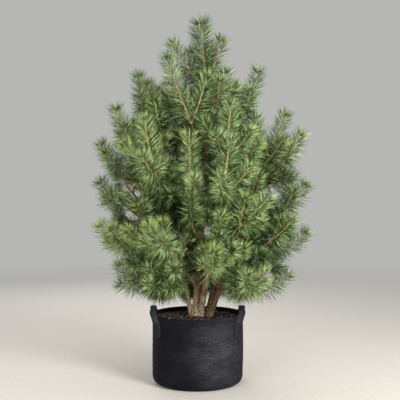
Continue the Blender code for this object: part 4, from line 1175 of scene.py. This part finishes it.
def felt_finish():
    """Black felt: matted fibres that lie mostly level, faint level streaks, and a lighter patch with pale
    specks at the front right, partly dust and partly painted light on the side that faces the key light.
    """
    made = Finish("black felt", (40, 40, 44), 0.9, 0.08, **{"Sheen Weight": 0.02, "Sheen Roughness": 0.5})
    cloud = made.noise(7.0, 5.0, 0.62, (1, 1, 1.8))
    streaks = made.noise(22.0, 6.0, 0.74, (1, 1, 6))
    strands = made.noise(210.0, 4.0, 0.70, (1, 1, 3.5))
    base = made.ramp(cloud, (0.34, (19, 20, 27)), (0.54, (25, 26, 34)), (0.72, (33, 34, 42)))
    # Lighter patch at the front right: partly dust, partly painted light
    from_dust_and_light = made.add("VectorMath", {0: made.place, 1: DUST_AND_LIGHT_PLACE}, operation="DISTANCE").outputs["Value"]
    dust_and_light = made.maths("MULTIPLY", made.range(from_dust_and_light, 0.20, 0.04), made.range(cloud, 0.22, 0.60))
    base = made.mix(made.maths("MULTIPLY", dust_and_light, 0.74), base, (76, 76, 82))
    level = made.ramp(streaks, (0.38, (140, 140, 145)), (0.60, (255, 255, 255)))
    fuzz = made.ramp(strands, (0.34, (140, 140, 144)), (0.64, (255, 255, 255)))
    specks = made.maths("MULTIPLY", made.range(made.noise(330.0, 2.0), 0.64, 0.72), dust_and_light)
    cloth = made.mix(0.9, made.mix(0.6, base, level, "MULTIPLY"), fuzz, "MULTIPLY")
    made.colour(made.mix(made.maths("MULTIPLY", specks, 0.6), cloth, (150, 150, 150)))
    made.roughness(cloud, 0.3, 0.7, 0.96, 0.80)
    made.bump(made.noise(10.0, 3.0, 0.5, (1, 1, 1.9)), 0.014, 0.8)
    made.bump(strands, 0.0009, 0.7)
    made.bump(made.noise(700.0, 3.0, 0.7), 0.0005, 0.5)
    return made.material


def webbing_finish():
    """Black webbing: lengthwise cords crossed by fine picks, with a little grey painted highlight on the
    inner half of the band where it leaves the bag.
    """
    made = Finish("black webbing", (34, 35, 40), 0.85, 0.2)
    cords, picks = (
        made.maths("SINE", made.maths("MULTIPLY", made.attribute(name), 2 * math.pi / pitch), 0.0)
        for name, pitch in (("across", 0.0021), ("along", 0.0016))
    )
    weave = made.maths("ADD", made.maths("MULTIPLY", cords, 0.6), made.maths("MULTIPLY", picks, 0.4))
    tint = made.ramp(made.range(weave, -1.0, 1.0), (0.2, (20, 21, 25)), (0.8, (38, 40, 46)))
    # The painted highlight's grey, mottled by noise
    worn = made.mix(made.range(made.noise(60.0), 0.20, 0.60, 0.0, 0.75), tint, (50, 51, 61))
    made.colour(made.mix(made.attribute("worn"), tint, worn))
    made.bump(weave, 0.0005, 0.8)
    return made.material


def mix_finish():
    """Moist peat and bark mix: dark, with red-brown and grey fibres."""
    made = Finish("potting mix", (44, 32, 24), 0.95, 0.2)
    crumbs = made.noise(260.0, 6.0, 0.75)
    tint = made.ramp(crumbs, (0.36, (4, 3, 3)), (0.56, (11, 8, 6)), (0.74, (44, 33, 25)))
    made.colour(made.mix(made.range(made.noise(34.0), 0.50, 0.8, 0.0, 0.6), tint, (22, 13, 9)))
    made.bump(crumbs, 0.0035, 0.9)
    return made.material


def bark_finish(name, cast):
    """Scots pine bark: grey-brown plates over dark cracks where it is old, orange-brown where it is young,
    flecked with green algae, the whole multiplied by one cast, which on the stems at the back and right is
    painted shade."""
    made = Finish(name, (118, 98, 78), 0.9, 0.25)
    crack, mark, age = (made.attribute(value) for value in ("crack", "mark", "age"))
    flakes = made.noise(190.0, 6.0, 0.7, (1, 1, 0.45))
    plates = made.ramp(flakes, (0.28, (82, 68, 52)), (0.44, (148, 128, 102)), (0.56, (190, 169, 142)),
                       (0.74, (226, 211, 188)))
    warm = made.mix(made.range(mark, 0.45, 1.0, 0.0, 0.50), plates, (168, 124, 88))
    height = made.add("SeparateXYZ", {"Vector": made.place}).outputs["Z"]
    grey = made.maths("MULTIPLY", made.range(height, 0.42, 0.31, 0.0, 0.75), made.range(flakes, 0.35, 0.6))
    cracks = made.mix(crack, (52, 38, 27), made.mix(grey, warm, (182, 171, 150)))
    young = made.ramp(flakes, (0.3, (78, 60, 42)), (0.55, (124, 98, 68)), (0.75, (166, 136, 100)))
    limb = made.mix(age, young, cracks)
    algae = made.range(made.noise(310.0, 3.0), 0.62, 0.70, 0.0, 0.55)
    algae = made.maths("MULTIPLY", algae, made.range(made.noise(46.0, 4.0, 0.6), 0.42, 0.58))
    made.colour(made.mix(1.0, made.mix(algae, limb, (128, 132, 66)), cast, "MULTIPLY"))
    made.bump(flakes, 0.0022, 0.9)
    return made.material


def shoot_finish():
    """This year's bark: orange-brown, scaly with the bases of needles, greener at the tip."""
    made = Finish("young shoot bark", (170, 118, 62), 0.7)
    scales = made.noise(300.0, 4.0, 0.6, (1, 1, 0.6))
    tint = made.ramp(scales, (0.36, (76, 64, 34)), (0.50, (152, 131, 78)), (0.64, (216, 197, 141)))
    made.colour(made.mix(made.range(made.attribute("young"), 0.45, 1.0, 0.0, 0.5), tint, (144, 144, 80)))
    made.bump(scales, 0.0012, 0.8)
    return made.material


def grained_finish(name, colour, roughness, grain, stops, relief=None, specular=0.5):
    """A finish of one grain, whose colours are laid out along its noise, which also gives the relief."""
    made = Finish(name, colour, roughness, specular)
    value = made.noise(*grain)
    made.colour(made.ramp(value, *stops))
    if relief:
        made.bump(value, *relief)
    return made.material


def chip_finish(name, dark, bright):
    """Bits of bark or grit of one kind, each side weathered a little."""
    return grained_finish(name, dark, 0.9, (420.0, 4.0, 0.7), ((0.3, dark), (0.72, bright)), (0.0012, 0.7))


def needle_finish(tone):
    """Waxy needles of one tone, a little duller and brighter from place to place."""
    colour = np.array(NEEDLE_COLOURS[tone])
    made = Finish("needle " + tone, colour, 0.46, 0.30)
    drift = made.noise(60.0, 2.0)
    made.colour(made.ramp(drift, (0.3, colour * 0.90), (0.7, np.minimum(colour * 1.08, 255))))
    made.roughness(drift, 0.3, 0.7, 0.40, 0.54)
    return made.material


# The plant's pieces


def build_wood(stems, leads, shoots):
    """Bark on every stem and limb, the thin axes of all shoots, and their buds."""
    bark = bark_finish("pine bark", (254, 249, 240))
    # A darker copy of the bark: painted shade for the stems at the back and right
    painted_shade_bark = bark_finish("pine bark with painted shade", (188, 176, 158))
    for order, (name, stem) in enumerate(stems.items()):
        heap = Heap()
        bark_tube(heap, stem, STEM_SIDES, STEM_RINGS, SEED + order, SOIL_SINK)
        make_piece(name + "_bark", heap, painted_shade_bark if name in PAINTED_SHADE_STEMS else bark, [name])
    heap, outer, inner, tips = Heap(), Heap(), Heap(), Heap()
    for order, (_, limb, _, _) in enumerate(leads[len(stems):]):
        bark_tube(heap, limb, BOUGH_SIDES, BOUGH_RINGS, SEED * 10 + order)
    make_piece("bough_bark", heap, bark, BOUGH_NODES + MASS_NODES)
    for shoot in shoots:
        # Old twigs inside the crown, shaded extra shoots and the darkest sprays get the darker twig bark; on
        # the last two it is painted shade
        is_old_or_painted_shade = shoot.inner or BY_NAME[shoot.mass].lift < PAINTED_SHADE_BELOW
        shoot_axis(inner if is_old_or_painted_shade else outer, shoot)
    make_piece("shoot_bark", outer, shoot_finish(), MASS_NODES)
    twig = grained_finish("twig bark", (92, 66, 42), 0.85, (260.0, 4.0, 0.65, (1, 1, 0.6)), (
        (0.3, (60, 42, 27)), (0.55, (98, 72, 46)), (0.75, (134, 104, 72))), (0.0012, 0.8))
    make_piece("twig_bark", inner, twig, MASS_NODES)
    buds(tips, [shoot for shoot in shoots if not shoot.inner])
    scales = ((0.35, (120, 66, 42)), (0.70, (196, 150, 116)))
    bud = grained_finish("pine bud", (150, 88, 56), 0.45, (900.0,), scales, (0.0006, 0.6))
    make_piece("shoot_buds", tips, bud, MASS_NODES)


def build_needles(shoots):
    """All needles, a piece or more for each tone, thinned out in the crown's gaps."""
    grown = [half for order, shoot in enumerate(shoots) for half in grow_needles(shoot, (SEED, order))]
    kept = [np.concatenate(part) for part in zip(*grown)]
    chance = np.random.default_rng(SEED + 3)
    clear = chance.random(len(kept[0])) < np.minimum(openness(kept[1])[1], openness(kept[2])[1])
    *needles, tone = (part[clear] for part in kept)
    for number, name in enumerate(NEEDLE_COLOURS):
        held = np.nonzero(tone == number)[0]
        finish = needle_finish(name)
        parts = np.array_split(held, max(1, math.ceil(len(held) / MOST_NEEDLES)))
        for part, chosen in enumerate(parts):
            heap = Heap()
            needle_mesh(heap, *(value[chosen] for value in needles))
            make_piece(f"needles_{name}_{part + 1}_set", heap, finish, MASS_NODES)


def build_plant():
    thread = grained_finish("sewing thread", (34, 34, 38), 0.7, (1800.0, 2.0), (
        (0.3, (30, 30, 33)), (0.7, (50, 50, 54))), None, 0.25)
    felt, webbing = felt_finish(), webbing_finish()
    chips = (
        ("peat_bits", chip_finish("dark bark bits", (15, 11, 8), (37, 27, 21))),
        ("bark_bits", chip_finish("red bark bits", (54, 35, 25), (104, 76, 58))),
        ("grit", chip_finish("pale grit", (150, 140, 124), (218, 208, 192))),
    )
    stems, leads, shoots, space = plan_plant()
    shoots += finer_twigs(leads, space)
    build_bag(felt, thread)
    build_handle("handle_left", 273, webbing, thread)
    build_handle("handle_right", 87, webbing, thread)
    build_soil(mix_finish(), chips, stems)
    build_wood(stems, leads, shoots)
    build_needles(shoots)


# Camera, light and floor

LENS, SENSOR = 63.6, 36.0
FLOOR_RADIUS, FLOOR_SIDES, FLOOR_FADES_FROM, FLOOR_FADES_TO = 14, 96, 1.2, 6.5
SKY, SKY_STRENGTH = (226, 226, 224), 0.62
LIT_MIDDLE = (0, 0, 0.8)


def build_studio():
    """A camera level with the crown, a pale floor, and soft light from above, in front and behind."""
    scene = bpy.context.scene
    lens = bpy.data.cameras.new("camera")
    lens.lens, lens.sensor_width = LENS, SENSOR
    camera = bpy.data.objects.new("camera", lens)
    camera.location = EYE
    camera.rotation_euler = (math.radians(90), 0, 0)
    scene.collection.objects.link(camera)
    scene.camera = camera
    floor_mesh = bpy.data.meshes.new("floor")
    angle = turns(FLOOR_SIDES)
    x, y, z = np.cos(angle) * FLOOR_RADIUS, np.sin(angle) * FLOOR_RADIUS, np.full(FLOOR_SIDES, -0.0005)
    rim = np.stack([x, y, z], -1)
    floor_mesh.from_pydata(rim.tolist(), [], [list(range(FLOOR_SIDES))])
    floor = bpy.data.objects.new("floor", floor_mesh)
    scene.collection.objects.link(floor)
    pale = Finish("pale floor", (206, 202, 195), 0.85)
    pale.colour(pale.ramp(pale.noise(55.0, 5.0), (0.3, (202, 198, 191)), (0.7, (211, 207, 200))))
    away = pale.add("VectorMath", {0: pale.place}, operation="LENGTH").outputs["Value"]
    shown = pale.range(away, FLOOR_FADES_FROM, FLOOR_FADES_TO, 1.0, 0.0)
    pale.links.new(shown, pale.shader.inputs["Alpha"])
    floor_mesh.materials.append(pale.material)
    for name, place, size, power, tint in (
        ("key", (2.4, -3.1, 1.9), 1.3, 222, (1.0, 0.98, 0.93)),
        ("fill", (-1.7, -3.3, 1.1), 2.0, 84, (1.0, 1.0, 0.97)),
        ("top", (0.0, 0.0, 4.2), 2.4, 14, (1.0, 1.0, 1.0)),
        ("back", (-1.2, 3.0, 2.6), 2.6, 60, (1.0, 0.98, 0.95)),
    ):
        light = bpy.data.lights.new(name, "AREA")
        light.size, light.energy, light.color = size, power, tint
        lamp = bpy.data.objects.new(name, light)
        lamp.location = place
        lamp.rotation_euler = (Vector(LIT_MIDDLE) - Vector(place)).to_track_quat("-Z", "Y").to_euler()
        scene.collection.objects.link(lamp)
    scene.world = bpy.data.worlds.new("studio")
    scene.world.use_nodes = True
    background = scene.world.node_tree.nodes["Background"].inputs
    background["Color"].default_value = linear(SKY)
    background["Strength"].default_value = SKY_STRENGTH
    scene.view_settings.view_transform = "Standard"


build_studio()
build_plant()
